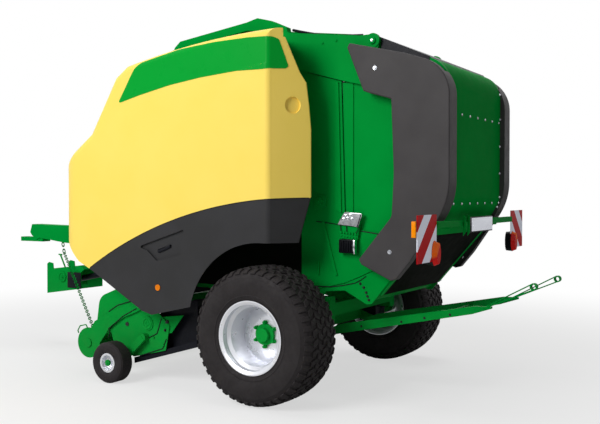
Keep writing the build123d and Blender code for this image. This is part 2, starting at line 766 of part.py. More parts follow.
def pickupReel():
    """Shaft, spiders, four tine bars and their tines."""
    reel = crossRod(-pickupHalf + 18, pickupHalf - 18, 0, 0, 40)
    reel += crossRod(-pickupHalf - 6, pickupHalf + 6, 0, 0, hingePinRadius)
    half = pickupHalf - 20
    spots = spread()
    tineBar = box(-half, half, -tineBarSide / 2, tineBarSide / 2, tineCircle - tineBarSide / 2,
                  tineCircle + tineBarSide / 2)
    for left, right in zip(spots, spots[1:]):
        x = (left + right) / 2
        tineBar += box(x - 4, x + 4, -5, 5, tineCircle, tineTip)
    for row in range(tineRows):
        reel += Rot(360 / tineRows * row + 20, 0, 0) * tineBar
    for x in (-pickupHalf + 30, 0, pickupHalf - 30):
        reel += crossRod(x - 5, x + 5, 0, 0, tineCircle + 14)
    return Pos(0, reelY, reelZ) * reel


def gaugeWheel():
    """Small pneumatic wheel: tyre and rim with its hub."""
    half = gaugeWidth / 2 * 0.80
    tyreShape = tyre(gaugeRadius, 0, gaugeWidth, half, 76, 90)
    line = Polyline(
        (half + 3, 75.6), (half + 3, 90), (half + 6, 90), (half + 6, 70), (20, 64), (14, 44), (14, 21),
        (-14, 21), (-14, 56), (-half - 6, 70), (-half - 6, 90), (-half - 3, 90), (-half - 3, 75.6),
        close=True,
    )
    rim = revolve(make_face(line), axis=Axis.X)
    rim += crossRod(14, 46, 0, 0, 26)
    rim -= crossRod(-60, 30, 0, 0, 20 + pinPlay / 2)
    return tyreShape, rim


def cropPress():
    """Crop roller tube with its end discs and the two arms to its pivots."""
    half = pickupHalf + 8
    tube = crossRod(-half, half, cropY, cropZ, cropRadius)
    tube -= crossRod(-half + 8, half - 8, cropY, cropZ, cropRadius - 6)
    for sign in (1, -1):
        a, b = sorted((sign * (half + 2), sign * (half + 14)))
        arm = side(outline([
            (cropY - 40, cropZ + 60), (-2068, 518), (-1861, 624), (pressPivotY - 60, pressPivotZ + 60),
            (pressPivotY + 25, pressPivotZ + 40), (pressPivotY + 38, pressPivotZ - 10),
            (pressPivotY - 10, pressPivotZ - 36), (-1683, 587), (-1862, 479), (cropY + 120, cropZ - 20),
        ]), a, b)
        arm -= crossRod(a - 5, b + 5, pressPivotY, pressPivotZ, hingePinRadius + pinPlay / 2)
        disc = crossRod(a, b, cropY, cropZ, cropDisc)
        tube += arm + disc + crossRod(sign * (half - 2), sign * (half + 26), cropY, cropZ, 42)
    return tube


def drawbar():
    """Box beam from the front post to the hitch end."""
    return side(outline([
        (-4126, 1275), (-4048, 1215), (-3990, 1239), (-3549, 1191), (-2400, 1145), (frameFront, 1145),
        (frameFront, drawbarTop), (-2400, drawbarTop), (-3560, 1391), (-4113, 1400), (-4148, 1305),
    ]), -drawbarHalf, drawbarHalf)


def towEye():
    """Flat tongue with the hitch eye bored through it."""
    tongue = box(-60, 60, eyeY, -3950, eyeZ - eyeThick / 2, eyeZ + eyeThick / 2)
    tongue += Pos(0, eyeY, eyeZ) * Cylinder(70, eyeThick)
    tongue -= Pos(0, eyeY, eyeZ) * Cylinder(eyeRadius, eyeThick + 10)
    return tongue - drawbar()


def ptoGuard():
    """Hood-shaped guard over the input shaft, with its bracket up to the drawbar."""
    cheek = outline([
        (-3750, 600), (-3749, 945), (-3720, 966), (-3653, 955), (-3644, 895), (-3204, 948), (-3150, 905),
        (-3196, 870), (-3197, 680),
    ])
    roof = outline([(-3644, 887), (-3644, 895), (-3204, 948), (-3150, 905), (-3154, 900), (-3206, 940)])
    guard = side(roof, -guardHalf, guardHalf)
    for sign in (1, -1):
        a, b = sorted((sign * (guardHalf - 8), sign * guardHalf))
        guard += side(cheek, a, b)
        a, b = sorted((sign * guardHalf, sign * (guardHalf + 10)))
        guard += crossRod(a, b, -3493, 806, 62)
    guard += box(-guardHalf + 4, guardHalf - 4, -3460, -3448, 690, 914)
    guard -= rod((0, -3500, shaftZ), (0, -3400, shaftZ), 45)
    bracket = outline([(-3200, 940), (-3150, 898), (-3060, 905), (-2990, 1180), (-3070, 1180)])
    return guard + side(bracket, -30, 30) - drawbar()


def inputShaft():
    """Splined stub, its bearing and the shaft back to the gearbox."""
    shape = rod((0, -3600, shaftZ), (0, -3440, shaftZ), stubRadius)
    shape += rod((0, -3475, shaftZ), (0, -3440, shaftZ), 44.9)
    return shape


def driveShaft():
    shaft = rod((0, -3460, shaftZ - 4), (0, -2040, boxInputZ), 34)
    return shaft - box(-90, 90, -3600, -3440, 600, 900) - gearbox()


def gearbox():
    return box(-170, 170, -2060, -1640, 945, 1145)


def parkingJack():
    """Square jack leg with its foot, on the right of the drawbar."""
    x = -300
    y = -2720
    leg = box(x - 30, x + 30, y - 30, y + 30, 60, 1180)
    leg += box(x - 38, x + 38, y - 38, y + 38, 620, 1290)
    leg += Pos(x, y, 6) * Cylinder(110, 12)
    leg += rod((x, y, 12), (x, y, 80), 28)
    leg += box(x + 38, -drawbarHalf, y - 40, y + 40, 1180, 1260)
    return leg


def ejector():
    """Rails, pivot tube, cross tube and the two sprung wire loops."""
    shape = crossRod(-earX - 20, earX + 20, ejectorPivotY, ejectorPivotZ, ejectorTube)
    rail = outline([
        (ejectorPivotY - 40, ejectorPivotZ - 35), (ejectorPivotY - 40, ejectorPivotZ + 35), (300, 590),
        (ejectorEndY - 140, ejectorEndZ + 5), (ejectorEndY, ejectorEndZ + 8), (ejectorEndY, ejectorEndZ - 8),
        (ejectorEndY - 160, ejectorEndZ - 62), (320, 510),
    ])
    coilY, coilZ = ejectorCoil
    for sign in (1, -1):
        x = sign * ejectorX
        shape += side(rail, x - 20, x + 20)
        shape += ring(28, 19, x - 26, x + 26, coilY, coilZ)
        shape += rod((x - 18, ejectorEndY - 60, ejectorEndZ), (x - 18, coilY - 12, coilZ + 23), 5)
        shape += rod((x + 18, ejectorEndY - 60, ejectorEndZ - 8), (x + 18, coilY, coilZ - 23), 5)
    shape += crossRod(-ejectorX, ejectorX, 1250, 735, 18)
    return shape


runningGear()
keep("axle", axle())
keep("chassis_frame", chassisFrame())
for suffix, turned in bothSides:
    keep("side_wall_" + suffix, [turned(piece) for piece in sideWall()])
    keep("top_band_" + suffix, turned(topBand()))
    keep("tailgate_side_" + suffix, turned(gateSide()))
    keep("tailgate_cover_" + suffix, turned(gateCover()))
    barrel, rodPiece = ramPieces()
    keep("ram_barrel_" + suffix, turned(barrel))
    keep("ram_rod_" + suffix, turned(rodPiece))
    gTyre, gRim = gaugeWheel()
    keep("gauge_tyre_" + suffix, turned(Pos(gaugeX, gaugeY, gaugeRadius) * gTyre))
    keep("gauge_rim_" + suffix, turned(Pos(gaugeX, gaugeY, gaugeRadius) * gRim))
keep("front_deck", frontDeck())
keep("chamber_rollers", rollers(chamberSpots, frameHalf, rollerRadius))
keep("front_belts", belts(frontBeltLine, beltBend))
keep("rear_belts", belts(rearBeltLine, beltBend))
keep("tailgate_rollers", rollers(tailgateSpots, gateInner, tailRollerRadius))
keep("front_cover", frontCover())
keep("drawbar", drawbar())
keep("tow_eye", towEye())
keep("pto_guard", ptoGuard())
keep("input_shaft", inputShaft())
keep("drive_shaft", driveShaft())
keep("gearbox", gearbox())
keep("parking_jack", parkingJack())
hoods()
keep("tailgate_skin", gateSkin())
keep("tailgate_roof", gateRoof())
keep("lamp_bar", lampBar())
keep("warning_boards", boards())
keep("rear_lamps", lamps())
keep("pickup_frame", pickupFrame())
keep("pickup_bands", pickupBands())
keep("pickup_reel", pickupReel())
keep("crop_roller", cropPress())
keep("ejector_fork", ejector())

toOrigin = Location((0, axleY, 0))
for name, shape in nodes.items():
    if isinstance(shape, list):
        placed = Compound(children=[piece.moved(toOrigin) for piece in shape])
    else:
        placed = shape.moved(toOrigin)
    export_step(placed, f"parts/{name}.step")
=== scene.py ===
import bpy
import bmesh
import json
import math
from mathutils import Matrix, Vector
from mathutils.bvhtree import BVHTree


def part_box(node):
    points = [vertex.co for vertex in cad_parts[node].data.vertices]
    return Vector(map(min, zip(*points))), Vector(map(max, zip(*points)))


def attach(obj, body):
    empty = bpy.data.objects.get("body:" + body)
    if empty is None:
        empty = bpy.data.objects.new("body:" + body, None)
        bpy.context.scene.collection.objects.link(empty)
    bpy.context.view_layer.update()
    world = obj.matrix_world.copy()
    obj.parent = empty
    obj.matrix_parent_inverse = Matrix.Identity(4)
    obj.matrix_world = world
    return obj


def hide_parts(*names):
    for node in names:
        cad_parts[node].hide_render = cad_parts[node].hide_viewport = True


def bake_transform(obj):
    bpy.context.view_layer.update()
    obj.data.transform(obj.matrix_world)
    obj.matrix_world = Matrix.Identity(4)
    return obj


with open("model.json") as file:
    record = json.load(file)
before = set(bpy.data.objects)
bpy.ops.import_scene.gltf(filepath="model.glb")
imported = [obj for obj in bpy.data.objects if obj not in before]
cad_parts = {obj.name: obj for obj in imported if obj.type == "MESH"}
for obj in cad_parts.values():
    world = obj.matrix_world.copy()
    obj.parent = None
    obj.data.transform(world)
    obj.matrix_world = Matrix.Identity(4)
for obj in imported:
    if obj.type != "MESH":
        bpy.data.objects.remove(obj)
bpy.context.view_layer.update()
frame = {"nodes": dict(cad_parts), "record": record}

nodes = frame["nodes"]
scene = bpy.context.scene
bothSides = {"left": 1, "right": -1}


def boxMiddle(name):
    low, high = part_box(name)
    return (Vector(low) + Vector(high)) / 2


axleY = boxMiddle("wheel_rim_left").y


def linear(code):
    # sRGB hex to linear RGBA
    parts = [int(code[i:i + 2], 16) / 255 for i in (1, 3, 5)]
    return tuple(p / 12.92 if p <= 0.04045 else ((p + 0.055) / 1.055) ** 2.4 for p in parts) + (1,)


def perMm(size):
    # scale of a pattern whose features are about size millimetres apart
    return 1000 / size


def addNode(tree, kind, inputs=None, **settings):
    # one node with its settings; an input is a value or a socket to link
    node = tree.nodes.new(kind)
    for key, value in settings.items():
        setattr(node, key, value)
    for key, value in (inputs or {}).items():
        if isinstance(value, bpy.types.NodeSocket):
            tree.links.new(value, node.inputs[key])
        else:
            node.inputs[key].default_value = value
    return node


def newMaterial(name, **shader):
    material = bpy.data.materials.new(name)
    material.use_nodes = True
    tree = material.node_tree
    bsdf = tree.nodes["Principled BSDF"]
    for key, value in shader.items():
        bsdf.inputs[key.replace("_", " ")].default_value = value
    coords = addNode(tree, "ShaderNodeTexCoord").outputs["Object"]
    return material, tree, bsdf, coords


def mottledColour(tree, coords, code, tint, size, detail, low=0.35, high=0.65):
    # one colour drifting into another in clouds about size millimetres apart
    cloud = addNode(tree, "ShaderNodeTexNoise", {"Vector": coords, "Scale": perMm(size), "Detail": detail})
    mask = addNode(tree, "ShaderNodeMapRange", {"Value": cloud.outputs["Fac"], "From Min": low,
                   "From Max": high})
    return addNode(tree, "ShaderNodeMix", {0: mask.outputs["Result"], 6: linear(code), 7: linear(tint)},
                   data_type="RGBA").outputs[2]


def sprayPaint(name, code, tint, paintedShadeZone=None, gloss=0.01):
    # two-pack enamel sprayed on sheet steel: even colour, fine orange peel, dust low down, and, where a zone
    # is given, a near-black painted shade
    rough = 0.34
    material, tree, bsdf, coords = newMaterial(name, IOR=1.45, Specular_IOR_Level=gloss)
    colour = mottledColour(tree, coords, code, tint, 420, 3)
    place = addNode(tree, "ShaderNodeSeparateXYZ", {"Vector": coords})
    if paintedShadeZone:
        # painted shade: near-black colour ahead of y and below z, standing in for the shade behind the wheel
        # and under the tailgate
        ahead = addNode(tree, "ShaderNodeMath", {0: place.outputs["Y"], 1: axleY + paintedShadeZone[0]},
                        operation="LESS_THAN")
        below = addNode(tree, "ShaderNodeMath", {0: place.outputs["Z"], 1: paintedShadeZone[1]},
                        operation="LESS_THAN")
        inside = addNode(tree, "ShaderNodeMath", {0: ahead.outputs[0], 1: below.outputs[0]},
                         operation="MULTIPLY")
        colour = addNode(tree, "ShaderNodeMix", {0: inside.outputs[0], 6: colour, 7: linear("#0e120d")},
                         data_type="RGBA").outputs[2]
    low = addNode(tree, "ShaderNodeMapRange", {"Value": place.outputs["Z"], "From Min": 0.1,
                  "From Max": 1.0, "To Min": 0.12, "To Max": 0.0})
    speck = addNode(tree, "ShaderNodeTexNoise", {"Vector": coords, "Scale": perMm(70), "Detail": 5})
    dust = addNode(tree, "ShaderNodeMath", {0: low.outputs["Result"], 1: speck.outputs["Fac"]},
                   operation="MULTIPLY")
    dusty = addNode(tree, "ShaderNodeMix", {0: dust.outputs[0], 6: colour, 7: linear("#6f6d50")},
                    data_type="RGBA")
    tree.links.new(dusty.outputs[2], bsdf.inputs["Base Color"])
    haze = addNode(tree, "ShaderNodeMapRange", {"Value": speck.outputs["Fac"], "From Min": 0.3,
                   "From Max": 0.7, "To Min": rough - 0.04, "To Max": rough + 0.08})
    tree.links.new(haze.outputs["Result"], bsdf.inputs["Roughness"])
    peel = addNode(tree, "ShaderNodeTexNoise", {"Vector": coords, "Scale": perMm(7), "Detail": 2})
    bump = addNode(tree, "ShaderNodeBump", {"Height": peel.outputs["Fac"], "Strength": 0.05,
                   "Distance": 0.0006})
    tree.links.new(bump.outputs["Normal"], bsdf.inputs["Normal"])
    return material


def mouldedPlastic(name, code, tint, rough, grainMm, depth, gloss=0.06):
    # rotation-moulded polyethylene, and coats, films and acrylic made like it: satin, finely grained
    material, tree, bsdf, coords = newMaterial(name, IOR=1.5, Specular_IOR_Level=gloss)
    tree.links.new(mottledColour(tree, coords, code, tint, 350, 3), bsdf.inputs["Base Color"])
    wear = addNode(tree, "ShaderNodeTexNoise", {"Vector": coords, "Scale": perMm(90), "Detail": 4})
    satin = addNode(tree, "ShaderNodeMapRange", {"Value": wear.outputs["Fac"], "From Min": 0.3,
                    "From Max": 0.7, "To Min": rough - 0.05, "To Max": rough + 0.07})
    tree.links.new(satin.outputs["Result"], bsdf.inputs["Roughness"])
    grain = addNode(tree, "ShaderNodeTexVoronoi", {"Vector": coords, "Scale": perMm(grainMm)})
    bump = addNode(tree, "ShaderNodeBump", {"Height": grain.outputs["Distance"], "Strength": depth,
                   "Distance": 0.0004})
    tree.links.new(bump.outputs["Normal"], bsdf.inputs["Normal"])
    return material


def platedSteel(name, code, shade, rough, streakMm, metallic=1.0):
    # plated or bare steel: cloudy shade and fine drawn streaks
    material, tree, bsdf, coords = newMaterial(name, Metallic=metallic)
    tree.links.new(mottledColour(tree, coords, code, shade, 30, 4, 0.4), bsdf.inputs["Base Color"])
    streak = addNode(tree, "ShaderNodeTexNoise", {"Vector": coords, "Scale": perMm(streakMm), "Detail": 2})
    drawn = addNode(tree, "ShaderNodeMapRange", {"Value": streak.outputs["Fac"], "From Min": 0.35,
                    "From Max": 0.65, "To Min": rough, "To Max": rough + 0.12})
    tree.links.new(drawn.outputs["Result"], bsdf.inputs["Roughness"])
    return material


def tyreRubber():
    # carbon-black rubber: matt, with a slightly dusty bloom
    material, tree, bsdf, coords = newMaterial("TyreRubber", IOR=1.52, Specular_IOR_Level=0.15)
    bloom = mottledColour(tree, coords, "#242122", "#2b2829", 120, 5)
    tree.links.new(bloom, bsdf.inputs["Base Color"])
    scuff = addNode(tree, "ShaderNodeTexNoise", {"Vector": coords, "Scale": perMm(25), "Detail": 4})
    matt = addNode(tree, "ShaderNodeMapRange", {"Value": scuff.outputs["Fac"], "From Min": 0.35,
                   "From Max": 0.65, "To Min": 0.55, "To Max": 0.75})
    tree.links.new(matt.outputs["Result"], bsdf.inputs["Roughness"])
    pits = addNode(tree, "ShaderNodeTexNoise", {"Vector": coords, "Scale": perMm(5), "Detail": 5})
    bump = addNode(tree, "ShaderNodeBump", {"Height": pits.outputs["Fac"], "Strength": 0.2,
                   "Distance": 0.0008})
    tree.links.new(bump.outputs["Normal"], bsdf.inputs["Normal"])
    return material


def silverLacquer():
    # silver lacquer over pressed steel: smooth and faintly metallic
    material, tree, bsdf, coords = newMaterial("SilverLacquer", Metallic=0.6)
    cloud = addNode(tree, "ShaderNodeTexNoise", {"Vector": coords, "Scale": perMm(80), "Detail": 3})
    colour = addNode(tree, "ShaderNodeMix", {0: cloud.outputs["Fac"], 6: linear("#e6e7ec"),
                     7: linear("#d9dbe2")}, data_type="RGBA")
    tree.links.new(colour.outputs[2], bsdf.inputs["Base Color"])
    satin = addNode(tree, "ShaderNodeMapRange", {"Value": cloud.outputs["Fac"], "From Min": 0.3,
                    "From Max": 0.7, "To Min": 0.26, "To Max": 0.36})
    tree.links.new(satin.outputs["Result"], bsdf.inputs["Roughness"])
    flake = addNode(tree, "ShaderNodeTexNoise", {"Vector": coords, "Scale": perMm(2), "Detail": 2})
    bump = addNode(tree, "ShaderNodeBump", {"Height": flake.outputs["Fac"], "Strength": 0.04,
                   "Distance": 0.0002})
    tree.links.new(bump.outputs["Normal"], bsdf.inputs["Normal"])
    return material


def beltRubber():
    # woven-backed conveyor rubber: matt, with a checked grip on its face
    material, tree, bsdf, coords = newMaterial("BeltRubber", IOR=1.5, Roughness=0.7)
    weave = addNode(tree, "ShaderNodeTexChecker", {"Vector": coords, "Scale": perMm(14)})
    colour = addNode(tree, "ShaderNodeMix", {0: weave.outputs["Fac"], 6: linear("#202021"),
                     7: linear("#2b2a2a")}, data_type="RGBA")
    tree.links.new(colour.outputs[2], bsdf.inputs["Base Color"])
    bump = addNode(tree, "ShaderNodeBump", {"Height": weave.outputs["Fac"], "Strength": 0.3,
                   "Distance": 0.0008})
    tree.links.new(bump.outputs["Normal"], bsdf.inputs["Normal"])
    return material


def reflectiveSheet():
    # retroreflective film on aluminium: red and white bars at 45 degrees that fall outwards, which also glow
    # faintly in their own colour as painted light, so the rear-facing boards stay bright in shade
    bars = {"pitch": 0.32, "redShare": 0.54, "start": 2.47}
    material, tree, bsdf, coords = newMaterial("RetroreflectiveSheetPaintedGlow", IOR=1.5, Roughness=0.35,
                                               Specular_IOR_Level=0.04, Emission_Strength=0.25)
    place = addNode(tree, "ShaderNodeSeparateXYZ", {"Vector": coords})
    across = addNode(tree, "ShaderNodeMath", {0: place.outputs["X"]}, operation="ABSOLUTE")
    run = addNode(tree, "ShaderNodeMath", {0: across.outputs[0], 1: place.outputs["Z"]}, operation="ADD")
    shifted = addNode(tree, "ShaderNodeMath", {0: run.outputs[0], 1: bars["start"]}, operation="SUBTRACT")
    count = addNode(tree, "ShaderNodeMath", {0: shifted.outputs[0], 1: bars["pitch"]}, operation="DIVIDE")
    share = addNode(tree, "ShaderNodeMath", {0: count.outputs[0]}, operation="FRACT")
    red = addNode(tree, "ShaderNodeMath", {0: share.outputs[0], 1: bars["redShare"]},
                  operation="LESS_THAN")
    colour = addNode(tree, "ShaderNodeMix", {0: red.outputs[0], 6: linear("#ccd0dc"),
                     7: linear("#9c0d12")}, data_type="RGBA")
    tree.links.new(colour.outputs[2], bsdf.inputs["Base Color"])
    # painted light: the bars' own colour as a faint glow
    tree.links.new(colour.outputs[2], bsdf.inputs["Emission Color"])
    cells = addNode(tree, "ShaderNodeTexVoronoi", {"Vector": coords, "Scale": perMm(5)})
    bump = addNode(tree, "ShaderNodeBump", {"Height": cells.outputs["Distance"], "Strength": 0.15,
                   "Distance": 0.0002})
    tree.links.new(bump.outputs["Normal"], bsdf.inputs["Normal"])
    return material


def acrylicLens():
    # tinted acrylic over ribbed reflectors: amber outside and above, red below, black housing behind
    lens = {"x": 0.986, "z": 1.304, "backY": axleY + 1.437, "slope": 1.4, "redTo": 0.02, "amberFrom": 0.05}
    material, tree, bsdf, coords = newMaterial("AcrylicLens", IOR=1.49, Roughness=0.15,
                                               Specular_IOR_Level=0.15, Emission_Strength=0.12)
    place = addNode(tree, "ShaderNodeSeparateXYZ", {"Vector": coords})
    across = addNode(tree, "ShaderNodeMath", {0: place.outputs["X"]}, operation="ABSOLUTE")
    out = addNode(tree, "ShaderNodeMath", {0: across.outputs[0], 1: lens["x"]}, operation="SUBTRACT")
    outward = addNode(tree, "ShaderNodeMath", {0: out.outputs[0], 1: lens["slope"]}, operation="MULTIPLY")
    up = addNode(tree, "ShaderNodeMath", {0: place.outputs["Z"], 1: lens["z"]}, operation="SUBTRACT")
    both = addNode(tree, "ShaderNodeMath", {0: outward.outputs[0], 1: up.outputs[0]}, operation="ADD")
    amber = addNode(tree, "ShaderNodeMapRange", {"Value": both.outputs[0], "From Min": lens["redTo"],
                    "From Max": lens["amberFrom"]})
    colour = addNode(tree, "ShaderNodeMix", {0: amber.outputs["Result"], 6: linear("#c4120e"),
                     7: linear("#e8620c")}, data_type="RGBA")
    back = addNode(tree, "ShaderNodeMath", {0: place.outputs["Y"], 1: lens["backY"]},
                   operation="LESS_THAN")
    housed = addNode(tree, "ShaderNodeMix", {0: back.outputs[0], 6: colour.outputs[2],
                     7: linear("#111214")}, data_type="RGBA")
    tree.links.new(housed.outputs[2], bsdf.inputs["Base Color"])
    tree.links.new(housed.outputs[2], bsdf.inputs["Emission Color"])
    prism = addNode(tree, "ShaderNodeTexWave", {"Vector": coords, "Scale": perMm(60)},
                    bands_direction="Z")
    bump = addNode(tree, "ShaderNodeBump", {"Height": prism.outputs["Fac"], "Strength": 0.25,
                   "Distance": 0.0006})
    tree.links.new(bump.outputs["Normal"], bsdf.inputs["Normal"])
    return material


def hoodPanel():
    # charcoal polyethylene hood with its round amber side marker let in
    marker = {"y": axleY - 1.10, "z": 0.92, "radius": 0.031, "face": 1.2625}
    material = mouldedPlastic("CharcoalPolyethylene", "#363638", "#323233", 0.5, 1.6, 0.14, 0.1)
    tree = material.node_tree
    bsdf = tree.nodes["Principled BSDF"]
    coords = addNode(tree, "ShaderNodeTexCoord").outputs["Object"]
    flat = addNode(tree, "ShaderNodeVectorMath", {0: coords, 1: (0.0, 1.0, 1.0)}, operation="MULTIPLY")
    away = addNode(tree, "ShaderNodeVectorMath", {0: flat.outputs[0], 1: (0.0, marker["y"], marker["z"])},
                   operation="DISTANCE")
    inRound = addNode(tree, "ShaderNodeMath", {0: away.outputs["Value"], 1: marker["radius"]},
                      operation="LESS_THAN")
    place = addNode(tree, "ShaderNodeSeparateXYZ", {"Vector": coords})
    across = addNode(tree, "ShaderNodeMath", {0: place.outputs["X"]}, operation="ABSOLUTE")
    outside = addNode(tree, "ShaderNodeMath", {0: across.outputs[0], 1: marker["face"]},
                      operation="GREATER_THAN")
    here = addNode(tree, "ShaderNodeMath", {0: inRound.outputs[0], 1: outside.outputs[0]},
                   operation="MULTIPLY")
    grey = bsdf.inputs["Base Color"].links[0].from_socket
    colour = addNode(tree, "ShaderNodeMix", {0: here.outputs[0], 6: grey, 7: linear("#e07a10")},
                     data_type="RGBA")
    tree.links.new(colour.outputs[2], bsdf.inputs["Base Color"])
    return material


greenPaint = sprayPaint("GreenEnamel", "#009337", "#008d34")
# painted shade: the wall paint turns near-black ahead of the axle line and below z 1.45, where the wheel
# arch lies in shadow; the tail paint turns near-black below z 1.42, under the tailgate
wallPaint = sprayPaint("GreenEnamelWall", "#009337", "#008d34", paintedShadeZone=(0.05, 1.45))
tailPaint = sprayPaint("GreenEnamelTail", "#009337", "#008d34", paintedShadeZone=(2.0, 1.42), gloss=0.002)
yellowHood = mouldedPlastic("YellowPolyethylene", "#fdde6b", "#fbdc66", 0.36, 1.2, 0.04, 0.1)
greyHood = hoodPanel()
greyCover = mouldedPlastic("WarmGreyPolyethylene", "#4a4849", "#444243", 0.42, 1.6, 0.10)
blackSheet = mouldedPlastic("BlackCoatedSheet", "#17181d", "#1d1e24", 0.3, 2.0, 0.05)
greenFilm = mouldedPlastic("GreenVinylFilm", "#019c31", "#019a30", 0.3, 3.0, 0.02)
amberReflector = mouldedPlastic("AmberAcrylic", "#ff9408", "#fb8c06", 0.2, 4.0, 0.25)
whiteSheet = mouldedPlastic("WhiteCoatedAluminiumPaintedGlow", "#f2f3f7", "#e9ebf2", 0.3, 6.0, 0.03)
# painted light: the blank plate glows faintly white so that it stays bright in the shade behind the machine
whiteShader = whiteSheet.node_tree.nodes["Principled BSDF"]
whiteShader.inputs["Emission Color"].default_value = linear("#dfe2ee")
whiteShader.inputs["Emission Strength"].default_value = 0.35
darkSteel = platedSteel("BlackenedSteel", "#26282b", "#1d1f22", 0.42, 4, 0.6)
zincSteel = platedSteel("ZincPlatedSteel", "#c4c7cd", "#8d9096", 0.28, 3)
chromeRod = platedSteel("HardChrome", "#dcdee2", "#b9bbc0", 0.08, 3)
rubber = tyreRubber()
silver = silverLacquer()
belt = beltRubber()
stripes = reflectiveSheet()
lens = acrylicLens()
print("materials ready")

slotMaterials = {
    "green_paint": greenPaint, "hood_yellow": yellowHood, "lower_hood_grey": greyHood,
    "cover_grey": greyCover, "black_plastic": blackSheet, "dark_steel": darkSteel,
    "bare_steel": zincSteel, "chrome_rod": chromeRod, "tyre_rubber": rubber,
    "rim_silver": silver, "belt_rubber": belt, "board_red_white": stripes, "lamp_red": lens,
}
slotOf = {s["node"]: s["material_slot"] for s in frame["record"]["subparts"]}
panelPaint = {"side_wall_left": wallPaint, "side_wall_right": wallPaint, "tailgate_skin": tailPaint}
for name, obj in nodes.items():
    obj.data.materials.clear()
    obj.data.materials.append(panelPaint.get(name) or slotMaterials[slotOf[name]])


def at(x, y, z):
    # a place whose y is measured from the axle line
    return Vector((x, axleY + y, z))


def alongSide(x, points):
    # places on one side-view plane from (y, z) points
    return [at(x, y, z) for y, z in points]


def standing(direction):
    # turns the Z axis to a direction
    return Vector((0, 0, 1)).rotation_difference(Vector(direction)).to_matrix().to_4x4()


def addPiece(name, bm, material, body, sharpDegrees=35):
    # a bmesh becomes one piece; it rides on a body unless the body is None
    mesh = bpy.data.meshes.new(name)
    bm.to_mesh(mesh)
    bm.free()
    mesh.materials.append(material)
    mesh.shade_smooth()
    mesh.set_sharp_from_angle(angle=math.radians(sharpDegrees))
    piece = bpy.data.objects.new(name, mesh)
    scene.collection.objects.link(piece)
    if body:
        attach(piece, body)
    return piece


def joinInto(bm, part):
    # empties one bmesh into another
    mesh = bpy.data.meshes.new("part")
    part.to_mesh(mesh)
    part.free()
    bm.from_mesh(mesh)
    bpy.data.meshes.remove(mesh)


def roundEdges(bm, edges, offset, segments):
    # bevels edges; one segment is a chamfer
    bmesh.ops.bevel(bm, geom=edges, offset=offset, segments=segments, profile=0.5, affect="EDGES",
                    material=-1)


def fullTurn(bm, middle, axis, steps):
    # spins a closed section into a ring with its faces outwards
    bmesh.ops.spin(bm, geom=bm.verts[:] + bm.edges[:], cent=middle, axis=axis, angle=math.tau, steps=steps,
                   use_merge=True, use_duplicate=False)
    bmesh.ops.remove_doubles(bm, verts=bm.verts, dist=1e-5)
    bmesh.ops.recalc_face_normals(bm, faces=bm.faces)


def addBox(bm, low, high, bevel=0.003, side=1):
    # bevelled block between two corners measured from the axle line; side -1 is its mirror image
    low, high = (at(side * x, y, z) for x, y, z in (low, high))
    part = bmesh.new()
    bmesh.ops.create_cube(part, size=1)
    size = Vector(abs(b - a) for a, b in zip(low, high))
    bmesh.ops.scale(part, vec=size, verts=part.verts)
    bmesh.ops.translate(part, vec=(low + high) / 2, verts=part.verts)
    roundEdges(part, part.edges[:], bevel, 2)
    joinInto(bm, part)


def addPlate(bm, outline, span, bevel=0.002, side=1):
    # sheet cut to a side-view outline of (y, z) points, between two places across the machine
    x0, x1 = (side * x for x in span)
    part = bmesh.new()
    face = part.faces.new([part.verts.new(place) for place in alongSide(x0, outline)])
    grown = bmesh.ops.extrude_face_region(part, geom=[face])["geom"]
    farSide = [g for g in grown if isinstance(g, bmesh.types.BMVert)]
    bmesh.ops.translate(part, vec=(x1 - x0, 0, 0), verts=farSide)
    bmesh.ops.recalc_face_normals(part, faces=part.faces)
    roundEdges(part, part.edges[:], bevel, 1)
    joinInto(bm, part)


def addRing(bm, middle, radius, wire):
    # round bead in the side-view plane
    part = bmesh.new()
    top = Matrix.Translation(middle + Vector((0, 0, radius)))
    bmesh.ops.create_circle(part, segments=8, radius=wire, matrix=top @ Matrix.Rotation(math.pi / 2, 4, "X"))
    fullTurn(part, middle, (1, 0, 0), 32)
    joinInto(bm, part)


def addDrum(bm, place, direction, radius, length, segments=24, bevel=0.002):
    # short turned piece, or a nut, standing on place along direction
    part = bmesh.new()
    bmesh.ops.create_cone(part, cap_ends=True, segments=segments, radius1=radius, radius2=radius,
                          depth=length)
    bmesh.ops.translate(part, vec=(0, 0, length / 2), verts=part.verts)
    rims = [e for e in part.edges if abs(e.verts[0].co.z - e.verts[1].co.z) < 1e-6]
    roundEdges(part, rims, bevel, 2)
    bmesh.ops.transform(part, matrix=Matrix.Translation(place) @ standing(direction), verts=part.verts)
    joinInto(bm, part)


def addTube(bm, path, radius, smooth=False):
    # round bar, pipe or pressed bead along a path, with closed ends
    curve = bpy.data.curves.new("path", "CURVE")
    curve.dimensions, curve.bevel_depth, curve.bevel_resolution = "3D", radius, 2
    curve.use_fill_caps = True
    spline = curve.splines.new("NURBS" if smooth else "POLY")
    spline.points.add(len(path) - 1)
    for point, place in zip(spline.points, path):
        point.co = (*place, 1)
    if smooth:
        spline.order_u, spline.use_endpoint_u = 3, True
    shape = bpy.data.objects.new("path", curve)
    mesh = bpy.data.meshes.new_from_object(shape)
    bpy.data.objects.remove(shape)
    bm.from_mesh(mesh)
    bpy.data.meshes.remove(mesh)


